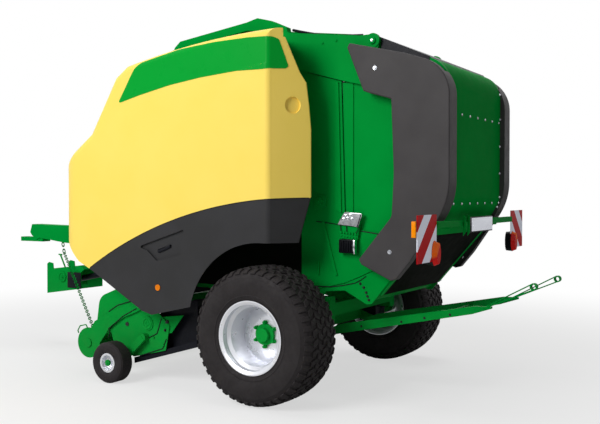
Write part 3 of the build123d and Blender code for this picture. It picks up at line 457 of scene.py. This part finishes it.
def addFasteners(name, spots, direction, head, material, body):
    # rivets or hexagon bolts with washers as one joined piece; a head is (kind, radius, height)
    kind, radius, height = head
    washer = {"foot": 1.35, "rim": 1.3, "thick": 0.3}
    bolt = {"top": 0.94, "middle": 0.7}
    bm = bmesh.new()
    for spot in spots:
        place = Matrix.Translation(spot) @ standing(direction)
        if kind == "dome":
            made = bmesh.ops.create_uvsphere(bm, u_segments=12, v_segments=8, radius=radius)["verts"]
            bmesh.ops.scale(bm, vec=(1, 1, height / radius), verts=made)
        else:
            made = bmesh.ops.create_cone(bm, cap_ends=True, segments=20, radius1=radius * washer["foot"],
                                         radius2=radius * washer["rim"],
                                         depth=height * washer["thick"])["verts"]
            bmesh.ops.translate(bm, vec=(0, 0, height * washer["thick"] / 2), verts=made)
            hexagon = bmesh.ops.create_cone(bm, cap_ends=True, segments=6, radius1=radius,
                                            radius2=radius * bolt["top"], depth=height)["verts"]
            bmesh.ops.translate(bm, vec=(0, 0, height * bolt["middle"]), verts=hexagon)
            made += hexagon
        bmesh.ops.transform(bm, matrix=place, verts=made)
    addPiece(name, bm, material, body)


def addSideBolts(name, bolts, sign, material, body):
    # fasteners on one side's face, from their (y, z) places
    spots = alongSide(sign * bolts["face"], bolts["spots"])
    addFasteners(name, spots, (sign, 0, 0), bolts["head"], material, body)


def addTubes(name, paths, radius, material, body, smooth=False):
    # several tubes as one piece
    bm = bmesh.new()
    for path in paths:
        addTube(bm, path, radius, smooth)
    addPiece(name, bm, material, body)


def spinProfile(bm, points, middle, segments):
    # closed ring from (x, radius) points, turned about X through middle
    verts = [bm.verts.new((middle.x + x, middle.y, middle.z + radius)) for x, radius in points]
    for a, b in zip(verts, verts[1:] + verts[:1]):
        bm.edges.new((a, b))
    fullTurn(bm, middle, (1, 0, 0), segments)


def cutAcross(bm, place, normal):
    # adds an edge line where a plane crosses the mesh
    bmesh.ops.bisect_plane(bm, geom=bm.verts[:] + bm.edges[:] + bm.faces[:], dist=1e-6, plane_co=place,
                           plane_no=normal)


def alongLine(points, distance):
    # point and left-hand normal at a distance along a line of (x, radius) points
    for (x0, r0), (x1, r1) in zip(points, points[1:]):
        length = math.hypot(x1 - x0, r1 - r0)
        if distance <= length or (x1, r1) == points[-1]:
            share = distance / length
            nx, nr = -(r1 - r0) / length, (x1 - x0) / length
            return x0 + (x1 - x0) * share, r0 + (r1 - r0) * share, nx, nr
        distance -= length


def treadBlock(half, length, height, cuts):
    # one block lying flat: tapered to its top, edges broken, cut across so that it can bend
    taper, edge = (0.94, 0.86, 1), 0.003
    bm = bmesh.new()
    bmesh.ops.create_cube(bm, size=1)
    bmesh.ops.scale(bm, vec=(2 * half, length, height), verts=bm.verts)
    bmesh.ops.translate(bm, vec=(0, 0, height / 2), verts=bm.verts)
    bmesh.ops.scale(bm, vec=taper, verts=[v for v in bm.verts if v.co.z > height / 2])
    rim = [e for e in bm.edges if min(v.co.z for v in e.verts) > height / 2]
    roundEdges(bm, rim, edge, 1)
    for index in range(1, cuts + 1):
        cutAcross(bm, ((2 * index / (cuts + 1) - 1) * half, 0, 0), (1, 0, 0))
    block = bpy.data.meshes.new("treadBlock")
    bm.to_mesh(block)
    bm.free()
    return block


def treadMesh(crown, middle, tread):
    # rows of blocks bent over the crown; a row is (middle, half width, offset, skew)
    bm = bmesh.new()
    radius = crown[0][1]
    pitch = math.tau * radius / tread["count"]
    for rowX, half, offset, skew in tread["rows"]:
        block = treadBlock(half, pitch * tread["fill"], tread["depth"] + tread["sunk"], tread["cuts"])
        for index in range(tread["count"]):
            first = len(bm.verts)
            bm.from_mesh(block)
            bm.verts.ensure_lookup_table()
            for v in bm.verts[first:]:
                across, around, height = v.co.x + rowX, v.co.y + skew * v.co.x, v.co.z - tread["sunk"]
                x, r, nx, nr = alongLine(crown, abs(across))
                x, r = math.copysign(x + nx * height, across), r + nr * height
                angle = ((index + offset) * pitch + around) / radius
                v.co = middle + Vector((x, r * math.sin(angle), r * math.cos(angle)))
        bpy.data.meshes.remove(block)
    mesh = bpy.data.meshes.new("tread")
    bm.to_mesh(mesh)
    bm.free()
    return mesh


def mainTyres():
    tyre = {
        # half section from the crown's middle over the shoulder and down the flank: (x, radius)
        "crown": [(0.0, 0.569), (0.06, 0.5688), (0.11, 0.567), (0.16, 0.562), (0.195, 0.554), (0.22, 0.541),
                  (0.236, 0.52), (0.2445, 0.50)],
        "flank": [(0.2445, 0.50), (0.2475, 0.497), (0.2485, 0.49), (0.2505, 0.475), (0.2535, 0.455),
                  (0.2545, 0.43), (0.2535, 0.405), (0.250, 0.378), (0.2445, 0.355), (0.2465, 0.352),
                  (0.2465, 0.345), (0.241, 0.341), (0.2345, 0.325), (0.226, 0.311), (0.224, 0.305),
                  (0.224, 0.283)],
        "tread": {"count": 44, "depth": 0.013, "sunk": 0.006, "fill": 0.62, "cuts": 2, "rows": [
            (0.0, 0.027, 0.0, 0.45), (0.066, 0.030, 0.5, -0.45), (-0.066, 0.030, 0.5, -0.45),
            (0.134, 0.030, 0.0, 0.45), (-0.134, 0.030, 0.0, 0.45),
            (0.208, 0.038, 0.5, -0.12), (-0.208, 0.038, 0.5, 0.12)]},
        "facets": 108, "sharp": 30,
    }
    for suffix in bothSides:
        middle = boxMiddle("wheel_rim_" + suffix)
        half = tyre["crown"] + tyre["flank"][1:]
        bm = bmesh.new()
        spinProfile(bm, half + [(-x, r) for x, r in reversed(half[1:])], middle, tyre["facets"])
        bm.from_mesh(treadMesh(tyre["crown"], middle, tyre["tread"]))
        piece = addPiece("tyreWithTread_" + suffix, bm, rubber, "wheel_" + suffix,
                         tyre["sharp"])
        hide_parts("tyre_" + suffix)


def hoodSkin(half, suffix):
    # outside of a hood half, to lay film and lines on
    return BVHTree.FromObject(nodes["hood_" + half + "_" + suffix], bpy.context.evaluated_depsgraph_get())


def onSkin(skin, sign, y, z):
    # where a line from outside meets the hood, and the surface's normal
    start = 2.0
    hit, normal, _, _ = skin.ray_cast(Vector((sign * start, y, z)), Vector((-sign, 0, 0)))
    return hit, normal


def hoodBands():
    # film along the top of each hood, laid on the moulding and round its rear corner
    band = {
        # side-view outline: y from the axle, z
        "outline": [(-1.579, 2.598), (-1.38, 2.90), (-1.30, 2.953), (-0.87, 3.034), (-0.472, 3.060),
                    (-0.096, 3.064), (0.107, 3.056), (0.139, 3.039), (0.19, 2.822), (0.177, 2.80),
                    (0.028, 2.79), (-0.249, 2.795), (-0.621, 2.768), (-0.957, 2.726), (-1.309, 2.659)],
        # corners of the outline and the radius they are rounded to
        "rounded": ((slice(6, 10), 0.0105), (slice(0, 2), 0.035)),
        "film": 0.003, "step": 0.008, "sharp": 60,
        # axis, first and last cut
        "cuts": ((1, axleY - 1.62, axleY + 0.22), (2, 2.58, 3.08)),
    }
    for suffix, sign in bothSides.items():
        skin = hoodSkin("upper", suffix)
        bm = bmesh.new()
        corners = [bm.verts.new(place) for place in alongSide(0, band["outline"])]
        bm.faces.new(corners)
        for some, radius in band["rounded"]:
            bmesh.ops.bevel(bm, geom=corners[some], offset=radius, offset_type="OFFSET", segments=4,
                            profile=0.5, affect="VERTICES", material=-1)
        for axis, low, high in band["cuts"]:
            for index in range(int((high - low) / band["step"]) + 1):
                place, normal = [0, 0, 0], [0, 0, 0]
                place[axis], normal[axis] = low + index * band["step"], 1
                cutAcross(bm, place, normal)
        for v in bm.verts:
            hit, normal = onSkin(skin, sign, v.co.y, v.co.z)
            v.co = hit + normal * band["film"]
        bmesh.ops.recalc_face_normals(bm, faces=bm.faces)
        if sum(f.normal.x for f in bm.faces) * sign < 0:
            bmesh.ops.reverse_faces(bm, faces=bm.faces)
        addPiece("hoodBand_" + suffix, bm, greenFilm, "hood_" + suffix, band["sharp"])


def rearPanelTrim():
    # rivet rows over the rear panel, two bolts on each cover and an amber reflector beside each board
    panel = {"rows": (2.416, 1.679), "columns": 7, "firstX": 0.573, "pitch": 0.191, "face": 1.430}
    cover = {"face": 0.779, "spots": [(0.823, 2.799), (0.959, 1.284)], "head": ("hex", 0.014, 0.010)}
    reflector = {"low": (1.318, 1.394, 1.437), "high": (1.334, 1.429, 1.558), "edge": 0.004}
    spots = [at(panel["firstX"] - panel["pitch"] * index, panel["face"], z)
             for z in panel["rows"] for index in range(panel["columns"])]
    addFasteners("rearPanelRivets", spots, (0, 1, 0), ("dome", 0.011, 0.006), zincSteel, "tailgate")
    for suffix, sign in bothSides.items():
        addSideBolts("coverBolts_" + suffix, cover, sign, zincSteel, "tailgate")
        bm = bmesh.new()
        addBox(bm, reflector["low"], reflector["high"], reflector["edge"], sign)
        addPiece("sideReflector_" + suffix, bm, amberReflector, "tailgate")


def hoodJoints():
    # dark joint between the halves of each hood, on an arc through three (y, z) places
    joint = {"arc": ((-2.100, 0.960), (-1.080, 1.478), (0.400, 1.728)), "first": -2.08, "step": 0.02,
             "count": 125, "below": 0.004, "outside": 0.9, "wire": 0.0035}
    (y1, z1), (y2, z2), (y3, z3) = joint["arc"]
    r1, r2, r3 = y1 * y1 + z1 * z1, y2 * y2 + z2 * z2, y3 * y3 + z3 * z3
    twice = 2 * (y1 * (z2 - z3) + y2 * (z3 - z1) + y3 * (z1 - z2))
    midY = (r1 * (z2 - z3) + r2 * (z3 - z1) + r3 * (z1 - z2)) / twice
    midZ = (r1 * (y3 - y2) + r2 * (y1 - y3) + r3 * (y2 - y1)) / twice
    radius = math.hypot(y1 - midY, z1 - midZ)
    for suffix, sign in bothSides.items():
        skin = hoodSkin("lower", suffix)
        path = []
        for index in range(joint["count"]):
            y = joint["first"] + index * joint["step"]
            z = midZ + math.sqrt(radius * radius - (y - midY) ** 2)
            hit = onSkin(skin, sign, axleY + y, z - joint["below"])[0]
            if hit and hit.x * sign > joint["outside"]:
                path.append(hit + Vector((0, 0, joint["below"])))
        addTubes("hoodJoint_" + suffix, [path], joint["wire"], blackSheet, "hood_" + suffix)


def lampBarTrim():
    # blank number plate in a black holder, on a green bracket beside it
    plate = {"x": (-0.316, 0.217), "z": (1.444, 1.558), "back": 1.456, "front": 1.459, "edge": 0.001}
    holder = {"border": 0.010, "back": 1.446, "wingX": 0.285, "wingY": (1.440, 1.462), "wingTop": 0.008}
    bracket = {"gussets": (0.296, 0.40), "thick": 0.008, "low": (0.288, 1.446, 1.47),
               "high": (0.400, 1.456, 1.53),
               "outline": [(1.446, 1.59), (1.468, 1.57), (1.468, 1.44), (1.446, 1.41)]}
    (x0, x1), (z0, z1), border = plate["x"], plate["z"], holder["border"]
    bm = bmesh.new()
    addBox(bm, (x0, plate["back"], z0), (x1, plate["front"], z1), plate["edge"])
    addPiece("numberPlateBlank", bm, whiteSheet, "tailgate")
    bm = bmesh.new()
    addBox(bm, (x0 - border, holder["back"], z0 - border), (x1 + border, plate["back"], z1 + border))
    addBox(bm, (x1 + border, holder["wingY"][0], z0 - border),
           (holder["wingX"], holder["wingY"][1], z1 + holder["wingTop"]))
    addPiece("plateHolder", bm, blackSheet, "tailgate")
    bm = bmesh.new()
    for x in bracket["gussets"]:
        addPlate(bm, bracket["outline"], (x, x - bracket["thick"]))
    addBox(bm, bracket["low"], bracket["high"])
    addPiece("plateBracket", bm, greenPaint, "tailgate")


def farSideBolts():
    # domed bolts inside the right cover's rim and along the slope under it
    rim = {"x": -0.610, "spots": [(1.428, z) for z in (1.732, 1.95, 2.2, 2.45, 2.68)] + [(1.405, 1.641)]}
    slope = [at(-0.700, 1.176, 1.340), at(-0.700, 1.040, 1.150), at(-0.646, 0.835, 0.925)]
    head = ("dome", 0.012, 0.007)
    addFasteners("coverRimBoltsInner", alongSide(rim["x"], rim["spots"]), (0.6, 0.8, 0), head, zincSteel,
                 "tailgate")
    addFasteners("lowerArmBolts", slope, (0, 0.82, -0.57), head, zincSteel, "tailgate")


def wallTrim():
    # black lines laid along real seams on both walls, painted shade standing in for the shadow each step
    # casts; bolts on both walls, and the cap of the tailgate's hinge
    wall = {
        "face": 0.669, "seamShadowWire": 0.0045,
        "seams": [
            [(0.20, 1.520), (0.343, 1.507), (0.412, 1.498), (0.62, 1.449), (0.672, 1.441), (0.736, 1.433),
             (0.80, 1.424)],
            [(0.13, 0.952), (0.344, 0.953), (0.461, 0.971), (0.583, 0.999), (0.642, 1.029), (0.690, 1.064)],
        ],
    }
    cheek = {"face": 0.669, "head": ("hex", 0.009, 0.008),
             "spots": [(0.634, 0.998), (0.667, 0.966), (0.690, 0.925), (0.702, 0.894), (0.715, 0.863)]}
    band = {"face": 0.690, "head": ("hex", 0.010, 0.008),
            "spots": [(0.274, 3.068), (0.409, 3.077), (-0.20, 3.02), (0.62, 2.80)]}
    hinge = {"x": 0.705, "y": 0.759, "z": 3.044, "radius": 0.030, "thick": 0.006}
    hingeBolt = {"face": hinge["x"] + hinge["thick"], "spots": [(hinge["y"], hinge["z"])],
                 "head": ("hex", 0.009, 0.006)}
    for suffix, sign in bothSides.items():
        # painted shade: black tubes along the real seams draw the shadow lines of their steps
        seams = [alongSide(sign * wall["face"], seam) for seam in wall["seams"]]
        addTubes("wallSeamShadows_" + suffix, seams, wall["seamShadowWire"], blackSheet, "chassis")
        addSideBolts("cheekBolts_" + suffix, cheek, sign, darkSteel, "chassis")
        addSideBolts("bandBolts_" + suffix, band, sign, greenPaint, "chassis")
        bm = bmesh.new()
        foot = at(sign * hinge["x"], hinge["y"], hinge["z"])
        addDrum(bm, foot, (sign, 0, 0), hinge["radius"], hinge["thick"])
        addPiece("hingeCap_" + suffix, bm, greenPaint, "tailgate")
        addSideBolts("hingeBolt_" + suffix, hingeBolt, sign, zincSteel, "tailgate")


def lubricator():
    # central lubricator on the left wall: sloped cover, manifold and finned pump under it
    cover = {
        "x": (0.700, 0.716), "edge": 0.005, "returnX": (0.672, 0.716), "returnEdge": 0.004,
        "outline": [(0.430, 1.497), (0.500, 1.606), (0.512, 1.606), (0.660, 1.596), (0.672, 1.588),
                    (0.636, 1.478)],
        "return": [(0.655, 1.592), (0.672, 1.588), (0.636, 1.478), (0.618, 1.480)],
        "knobs": [(0.495, 1.545), (0.535, 1.552), (0.575, 1.548), (0.515, 1.575), (0.560, 1.580)],
        "knobFoot": 0.714, "knobRadius": 0.013, "knobLength": 0.012,
        "stripLow": (0.690, 0.598, 1.250), "stripHigh": (0.745, 0.618, 1.372),
    }
    manifold = {
        "x": (0.670, 0.700), "edge": 0.004, "count": 6, "first": 0.468, "pitch": 0.028, "drop": 0.003,
        "outline": [(0.452, 1.500), (0.640, 1.480), (0.622, 1.365), (0.452, 1.380)],
        # z, radius, length of each row's outlets
        "face": 0.698, "rows": [(1.435, 0.010, 0.016), (1.402, 0.008, 0.010)],
    }
    pump = {"low": (0.670, 0.456, 1.256), "high": (0.728, 0.598, 1.374), "edge": 0.006, "fins": 8,
            "first": 0.464, "pitch": 0.0165, "thick": 0.008, "finX": (0.726, 0.742),
            "finZ": (1.262, 1.368), "finEdge": 0.002}
    pipes = {"x": 0.710, "radius": 0.0035, "routes": [
        [(0.470, 1.43), (0.462, 1.47), (0.468, 1.505)],
        [(0.52, 1.43), (0.528, 1.47), (0.515, 1.50)],
        [(0.60, 1.42), (0.624, 1.44), (0.640, 1.50), (0.640, 1.56)],
    ]}
    bm = bmesh.new()
    addPlate(bm, cover["outline"], cover["x"], cover["edge"])
    addPlate(bm, cover["return"], cover["returnX"], cover["returnEdge"])
    for place in alongSide(cover["knobFoot"], cover["knobs"]):
        addDrum(bm, place, (1, 0, 0), cover["knobRadius"], cover["knobLength"])
    addBox(bm, cover["stripLow"], cover["stripHigh"], cover["returnEdge"])
    addPiece("lubricatorCover", bm, chromeRod, "chassis")
    bm = bmesh.new()
    addPlate(bm, manifold["outline"], manifold["x"], manifold["edge"])
    for index in range(manifold["count"]):
        y = manifold["first"] + index * manifold["pitch"]
        for z, radius, length in manifold["rows"]:
            foot = at(manifold["face"], y, z - index * manifold["drop"])
            addDrum(bm, foot, (1, 0, 0), radius, length)
    addPiece("lubricatorManifold", bm, greenPaint, "chassis")
    bm = bmesh.new()
    addBox(bm, pump["low"], pump["high"], pump["edge"])
    for index in range(pump["fins"]):
        y = pump["first"] + index * pump["pitch"]
        addBox(bm, (pump["finX"][0], y, pump["finZ"][0]),
               (pump["finX"][1], y + pump["thick"], pump["finZ"][1]), pump["finEdge"])
    addPiece("lubricatorPump", bm, blackSheet, "chassis")
    routes = [alongSide(pipes["x"], route) for route in pipes["routes"]]
    addTubes("lubricatorPipes", routes, pipes["radius"], blackSheet, "chassis", smooth=True)


def roofPipes():
    # black tube over each side from the front deck to the tailgate hinge
    pipe = {"x": 0.640, "radius": 0.012,
            "route": [(-0.059, 3.222), (0.162, 3.160), (0.406, 3.122), (0.640, 3.108)]}
    for suffix, sign in bothSides.items():
        route = alongSide(sign * pipe["x"], pipe["route"])
        addTubes("roofPipe_" + suffix, [route], pipe["radius"], blackSheet, "chassis",
                 smooth=True)


def pickupTrim():
    # black lines along real seams on the pickup's ends and on the crop press arms, painted shade standing in
    # for the shadow under each plate edge; cam ring and bolts on the pickup's ends; wire handle on the crop
    # press arms
    end = {
        "face": 1.062, "seam": 0.005,
        "seams": [
            [(-1.437, 0.781), (-1.60, 0.743), (-1.780, 0.693), (-1.90, 0.622)],
            [(-1.235, 0.606), (-1.262, 0.530), (-1.289, 0.460), (-1.470, 0.372)],
            [(-1.176, 0.417), (-1.219, 0.326), (-1.385, 0.270), (-1.500, 0.232)],
        ],
        "bosses": [(-1.60, 0.775), (-1.21, 0.36), (-1.33, 0.42)], "bossRadius": 0.012, "bossLength": 0.010,
        "spots": [(-1.50, 0.775), (-1.190, 0.500)], "head": ("hex", 0.010, 0.010),
        # (radius, wire) of the beads round the cam
        "cam": (1.070, -1.402, 0.547), "camBeads": [(0.048, 0.008), (0.020, 0.006)],
    }
    arm = {
        "face": 1.084, "wire": 0.006, "seam": 0.005,
        "handle": [(-2.285, 0.385), (-2.296, 0.409), (-2.264, 0.457), (-2.185, 0.475), (-2.160, 0.440)],
        "line": [(-1.523, 0.680), (-1.687, 0.599), (-1.883, 0.460), (-1.862, 0.415), (-1.885, 0.370)],
    }
    for suffix, sign in bothSides.items():
        face, armFace = sign * end["face"], sign * arm["face"]
        # painted shade: black tubes along the plate edges draw their shadow lines
        seams = [alongSide(face, seam) for seam in end["seams"]]
        addTubes("pickupSeamShadows_" + suffix, seams, end["seam"], blackSheet, "pickup")
        bm = bmesh.new()
        camX, camY, camZ = end["cam"]
        for radius, wire in end["camBeads"]:
            addRing(bm, at(sign * camX, camY, camZ), radius, wire)
        for place in alongSide(face, end["bosses"]):
            addDrum(bm, place, (sign, 0, 0), end["bossRadius"], end["bossLength"], 6)
        addPiece("pickupBosses_" + suffix, bm, greenPaint, "pickup")
        addSideBolts("pickupBolts_" + suffix, end, sign, darkSteel, "pickup")
        addTubes("pressHandle_" + suffix, [alongSide(armFace, arm["handle"])], arm["wire"], greenPaint,
                 "crop_press")
        # painted shade: black tube along the arm's seam draws its shadow line
        addTubes("pressSeamShadow_" + suffix, [alongSide(armFace, arm["line"])], arm["seam"], blackSheet,
                 "crop_press")


def pickupTray():
    # black scraper tray and end shields under the pickup, and green wings behind its ends
    tray = {"x": (-1.045, 1.045),
            "outline": [(-1.590, 0.205), (-1.586, 0.150), (-1.191, 0.267), (-0.830, 0.374),
                        (-0.830, 0.436), (-1.179, 0.324)]}
    shield = {"x": (0.962, 0.968),
              "outline": [(-1.330, 0.712), (-0.880, 0.790), (-0.880, 0.380), (-1.247, 0.280),
                          (-1.333, 0.335)]}
    wing = {"x": (1.040, 1.048),
            "outline": [(-1.262, 0.615), (-0.985, 0.652), (-1.125, 0.478), (-1.179, 0.464)]}
    wingBolt = {"face": wing["x"][1], "spots": [(-1.175, 0.575)], "head": ("hex", 0.016, 0.012)}
    bm = bmesh.new()
    addPlate(bm, tray["outline"], tray["x"])
    for sign in bothSides.values():
        addPlate(bm, shield["outline"], shield["x"], side=sign)
    addPiece("pickupTray", bm, blackSheet, "pickup")
    for suffix, sign in bothSides.items():
        bm = bmesh.new()
        addPlate(bm, wing["outline"], wing["x"], side=sign)
        addPiece("pickupWing_" + suffix, bm, greenPaint, "pickup")
        addSideBolts("wingBolt_" + suffix, wingBolt, sign, darkSteel, "pickup")


def underbodySheets():
    # black sheet ahead of the feed channel and a shield behind the axle on each side
    channel = {"low": (-0.640, -1.216, 0.800), "high": (0.640, -1.206, 0.960)}
    shield = {"low": (0.450, 0.050, 0.500), "high": (0.655, 0.230, 0.660)}
    bm = bmesh.new()
    addBox(bm, channel["low"], channel["high"])
    for sign in bothSides.values():
        addBox(bm, shield["low"], shield["high"], side=sign)
    addPiece("channelSheets", bm, blackSheet, "chassis")


def guardTrim():
    # beads and nut round the guard's pivot, a tee bar beside the drawbar, and a black sheet on the guard,
    # painted shade standing in for the shadowed inside of its far cheek
    pivot = {"y": -3.491, "z": 0.800, "beadX": 0.182, "beads": [(0.050, 0.006), (0.022, 0.006)],
             "nutX": 0.178, "nutRadius": 0.012, "nutLength": 0.012}
    tee = {"x": 0.172, "bar": [(-3.552, 1.062), (-3.500, 1.060)], "barRadius": 0.008,
           "leg": [(-3.526, 1.061), (-3.450, 0.920)], "legRadius": 0.009}
    shadeSheet = {"low": (0.181, -3.400, 0.686), "high": (0.186, -3.186, 0.866), "edge": 0.002}
    bm = bmesh.new()
    for radius, wire in pivot["beads"]:
        addRing(bm, at(pivot["beadX"], pivot["y"], pivot["z"]), radius, wire)
    addDrum(bm, at(pivot["nutX"], pivot["y"], pivot["z"]), (1, 0, 0), pivot["nutRadius"],
            pivot["nutLength"], 6)
    addTube(bm, alongSide(tee["x"], tee["bar"]), tee["barRadius"])
    addTube(bm, alongSide(tee["x"], tee["leg"]), tee["legRadius"])
    addPiece("guardFittings", bm, greenPaint, "chassis")
    # painted shade: this black sheet darkens the place where the guard's far cheek lies in shadow
    bm = bmesh.new()
    addBox(bm, shadeSheet["low"], shadeSheet["high"], shadeSheet["edge"])
    addPiece("guardShadeSheet", bm, blackSheet, "chassis")


def pressChain():
    # chain from the drawbar down to the crop press, with every second link turned a quarter; a link's
    # section lies in the plane it is turned in, so each is a flat ring with no thickness
    chain = {"wire": 0.0055, "link": 0.048, "wide": 0.026, "nested": 0.78, "facets": 5, "steps": 10}
    route = [at(0.075, -3.590, 1.190), at(0.090, -3.551, 1.074), at(1.000, -2.176, 0.446)]
    section = Matrix.Translation((chain["wide"] / 2, 0, 0)) @ Matrix.Rotation(math.pi / 2, 4, "X")
    bm = bmesh.new()
    for start, end in zip(route, route[1:]):
        run = end - start
        count = max(2, round(run.length / (chain["link"] * chain["nested"])))
        for index in range(count):
            part = bmesh.new()
            bmesh.ops.create_circle(part, segments=chain["facets"], radius=chain["wire"], matrix=section)
            bmesh.ops.spin(part, geom=part.verts[:] + part.edges[:], cent=(0, 0, 0), axis=(0, 1, 0),
                           angle=math.tau, steps=chain["steps"], use_merge=True, use_duplicate=False)
            bmesh.ops.scale(part, vec=(1, 1, chain["link"] / chain["wide"]), verts=part.verts)
            bmesh.ops.recalc_face_normals(part, faces=part.faces)
            place = Matrix.Translation(start + run * ((index + 0.5) / count)) @ standing(run)
            quarterTurn = Matrix.Rotation(math.pi / 2 * (index % 2), 4, "Z")
            bmesh.ops.transform(part, matrix=place @ quarterTurn, verts=part.verts)
            joinInto(bm, part)
    piece = addPiece("pickupChain", bm, greenPaint, None)
    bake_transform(piece)


def railBolts():
    rail = {"face": 0.387, "head": ("hex", 0.008, 0.006),
            "spots": [(0.886, 0.654), (1.101, 0.705), (1.331, 0.749), (0.50, 0.585)]}
    for suffix, sign in bothSides.items():
        addSideBolts("railBolts_" + suffix, rail, sign, darkSteel, "ejector")


def hoodCatches():
    # black block behind the slot of each lower hood, and the grip in it
    catch = {"x": (1.205, 1.232), "edge": 0.002, "gripX": 1.243, "gripRadius": 0.015,
             "outline": [(-1.15, 1.225), (-1.15, 1.28), (-0.93, 1.335), (-0.93, 1.275)],
             "grip": [(-1.108, 1.243), (-1.035, 1.268), (-0.968, 1.297)]}
    for suffix, sign in bothSides.items():
        bm = bmesh.new()
        addPlate(bm, catch["outline"], catch["x"], catch["edge"], sign)
        addTube(bm, alongSide(sign * catch["gripX"], catch["grip"]), catch["gripRadius"])
        addPiece("hoodCatch_" + suffix, bm, blackSheet, "hood_" + suffix)


def gaugeHubs():
    # green hub cap and nut in each gauge wheel: (foot from the wheel's middle, radius, length, facets, edge)
    drums = [(0.050, 0.030, 0.020, 24, 0.005), (0.068, 0.012, 0.006, 6, 0.001)]
    for suffix, sign in bothSides.items():
        middle = boxMiddle("gauge_rim_" + suffix)
        bm = bmesh.new()
        for foot, radius, length, facets, edge in drums:
            addDrum(bm, middle + Vector((sign * foot, 0, 0)), (sign, 0, 0), radius, length, facets, edge)
        addPiece("gaugeHub_" + suffix, bm, greenPaint, "gauge_wheel_" + suffix)


mainTyres()
print("tyres ready")
hoodBands()
print("hood bands ready")
rearPanelTrim()
print("rear trim ready")
hoodJoints()
lampBarTrim()
farSideBolts()
wallTrim()
lubricator()
roofPipes()
print("body trim ready")
pickupTrim()
pickupTray()
underbodySheets()
guardTrim()
pressChain()
railBolts()
hoodCatches()
gaugeHubs()
print("pickup and rail trim ready")


def studioFloor():
    # matt pale floor that turns white away from the machine
    white = {"from": 2.5, "to": 9.0, "least": 0.62}
    material, tree, bsdf, coords = newMaterial("StudioFloor", Roughness=0.95, Specular_IOR_Level=0.0)
    bsdf.inputs["Base Color"].default_value = linear("#e4e4e4")
    distance = addNode(tree, "ShaderNodeVectorMath", {0: coords}, operation="LENGTH")
    fade = addNode(tree, "ShaderNodeMapRange", {"Value": distance.outputs["Value"],
                   "From Min": white["from"], "From Max": white["to"], "To Min": white["least"]},
                   interpolation_type="SMOOTHSTEP")
    glow = addNode(tree, "ShaderNodeEmission", {"Color": (1, 1, 1, 1), "Strength": 1.0})
    seen = addNode(tree, "ShaderNodeLightPath").outputs["Is Camera Ray"]
    share = addNode(tree, "ShaderNodeMath", {0: fade.outputs["Result"], 1: seen}, operation="MULTIPLY")
    mix = addNode(tree, "ShaderNodeMixShader", {0: share.outputs[0], 1: bsdf.outputs[0],
                  2: glow.outputs[0]})
    tree.links.new(mix.outputs[0], tree.nodes["Material Output"].inputs["Surface"])
    return material


def buildStage():
    # the sky lights the machine softly and still shows white
    stage = {"floor": 60, "skyLight": 0.18, "skySeen": 1.0}
    floor = bpy.data.objects.new("studioFloor", bpy.data.meshes.new("studioFloor"))
    scene.collection.objects.link(floor)
    bm = bmesh.new()
    bmesh.ops.create_grid(bm, x_segments=1, y_segments=1, size=stage["floor"])
    bm.to_mesh(floor.data)
    bm.free()
    floor.data.materials.append(studioFloor())

    world = bpy.data.worlds.new("studio")
    scene.world = world
    world.use_nodes = True
    tree = world.node_tree
    sky = tree.nodes["Background"]
    sky.inputs["Color"].default_value = (1, 1, 1, 1)
    path = addNode(tree, "ShaderNodeLightPath")
    shown = addNode(tree, "ShaderNodeMath", {0: path.outputs["Is Camera Ray"],
                    1: path.outputs["Is Glossy Ray"]}, operation="MAXIMUM")
    strength = addNode(tree, "ShaderNodeMapRange", {"Value": shown.outputs[0], "To Min": stage["skyLight"],
                       "To Max": stage["skySeen"]})
    tree.links.new(strength.outputs["Result"], sky.inputs["Strength"])

    aim = Vector((0, 0, 1.4))
    # name: place, size in metres, power in watts
    lamps = {
        "keySoftbox": ((9.5, -1.2, 6.5), 5.0, 790),
        "topSoftbox": ((-1.0, 0.0, 11.0), 7.0, 420),
    }
    for name, (place, size, power) in lamps.items():
        data = bpy.data.lights.new(name, "AREA")
        data.shape, data.size, data.energy = "SQUARE", size, power
        lamp = bpy.data.objects.new(name, data)
        lamp.location = place
        lamp.rotation_euler = (aim - Vector(place)).to_track_quat("-Z", "Y").to_euler()
        scene.collection.objects.link(lamp)


def buildCamera():
    view = {"place": (7.008, axleY + 3.894, 1.755), "yaw": 31.348, "pitch": -1.188, "lens": 50.2,
            "sensor": 36, "farthest": 200}
    data = bpy.data.cameras.new("camera")
    data.lens, data.sensor_width, data.clip_end = view["lens"], view["sensor"], view["farthest"]
    camera = bpy.data.objects.new("camera", data)
    camera.location = view["place"]
    yaw, pitch = math.radians(view["yaw"]), math.radians(view["pitch"])
    look = Vector((-math.cos(yaw) * math.cos(pitch), -math.sin(yaw) * math.cos(pitch), math.sin(pitch)))
    camera.rotation_euler = look.to_track_quat("-Z", "Y").to_euler()
    scene.collection.objects.link(camera)
    scene.camera = camera
    scene.view_settings.view_transform = "Standard"


buildStage()
buildCamera()
print("stage ready")
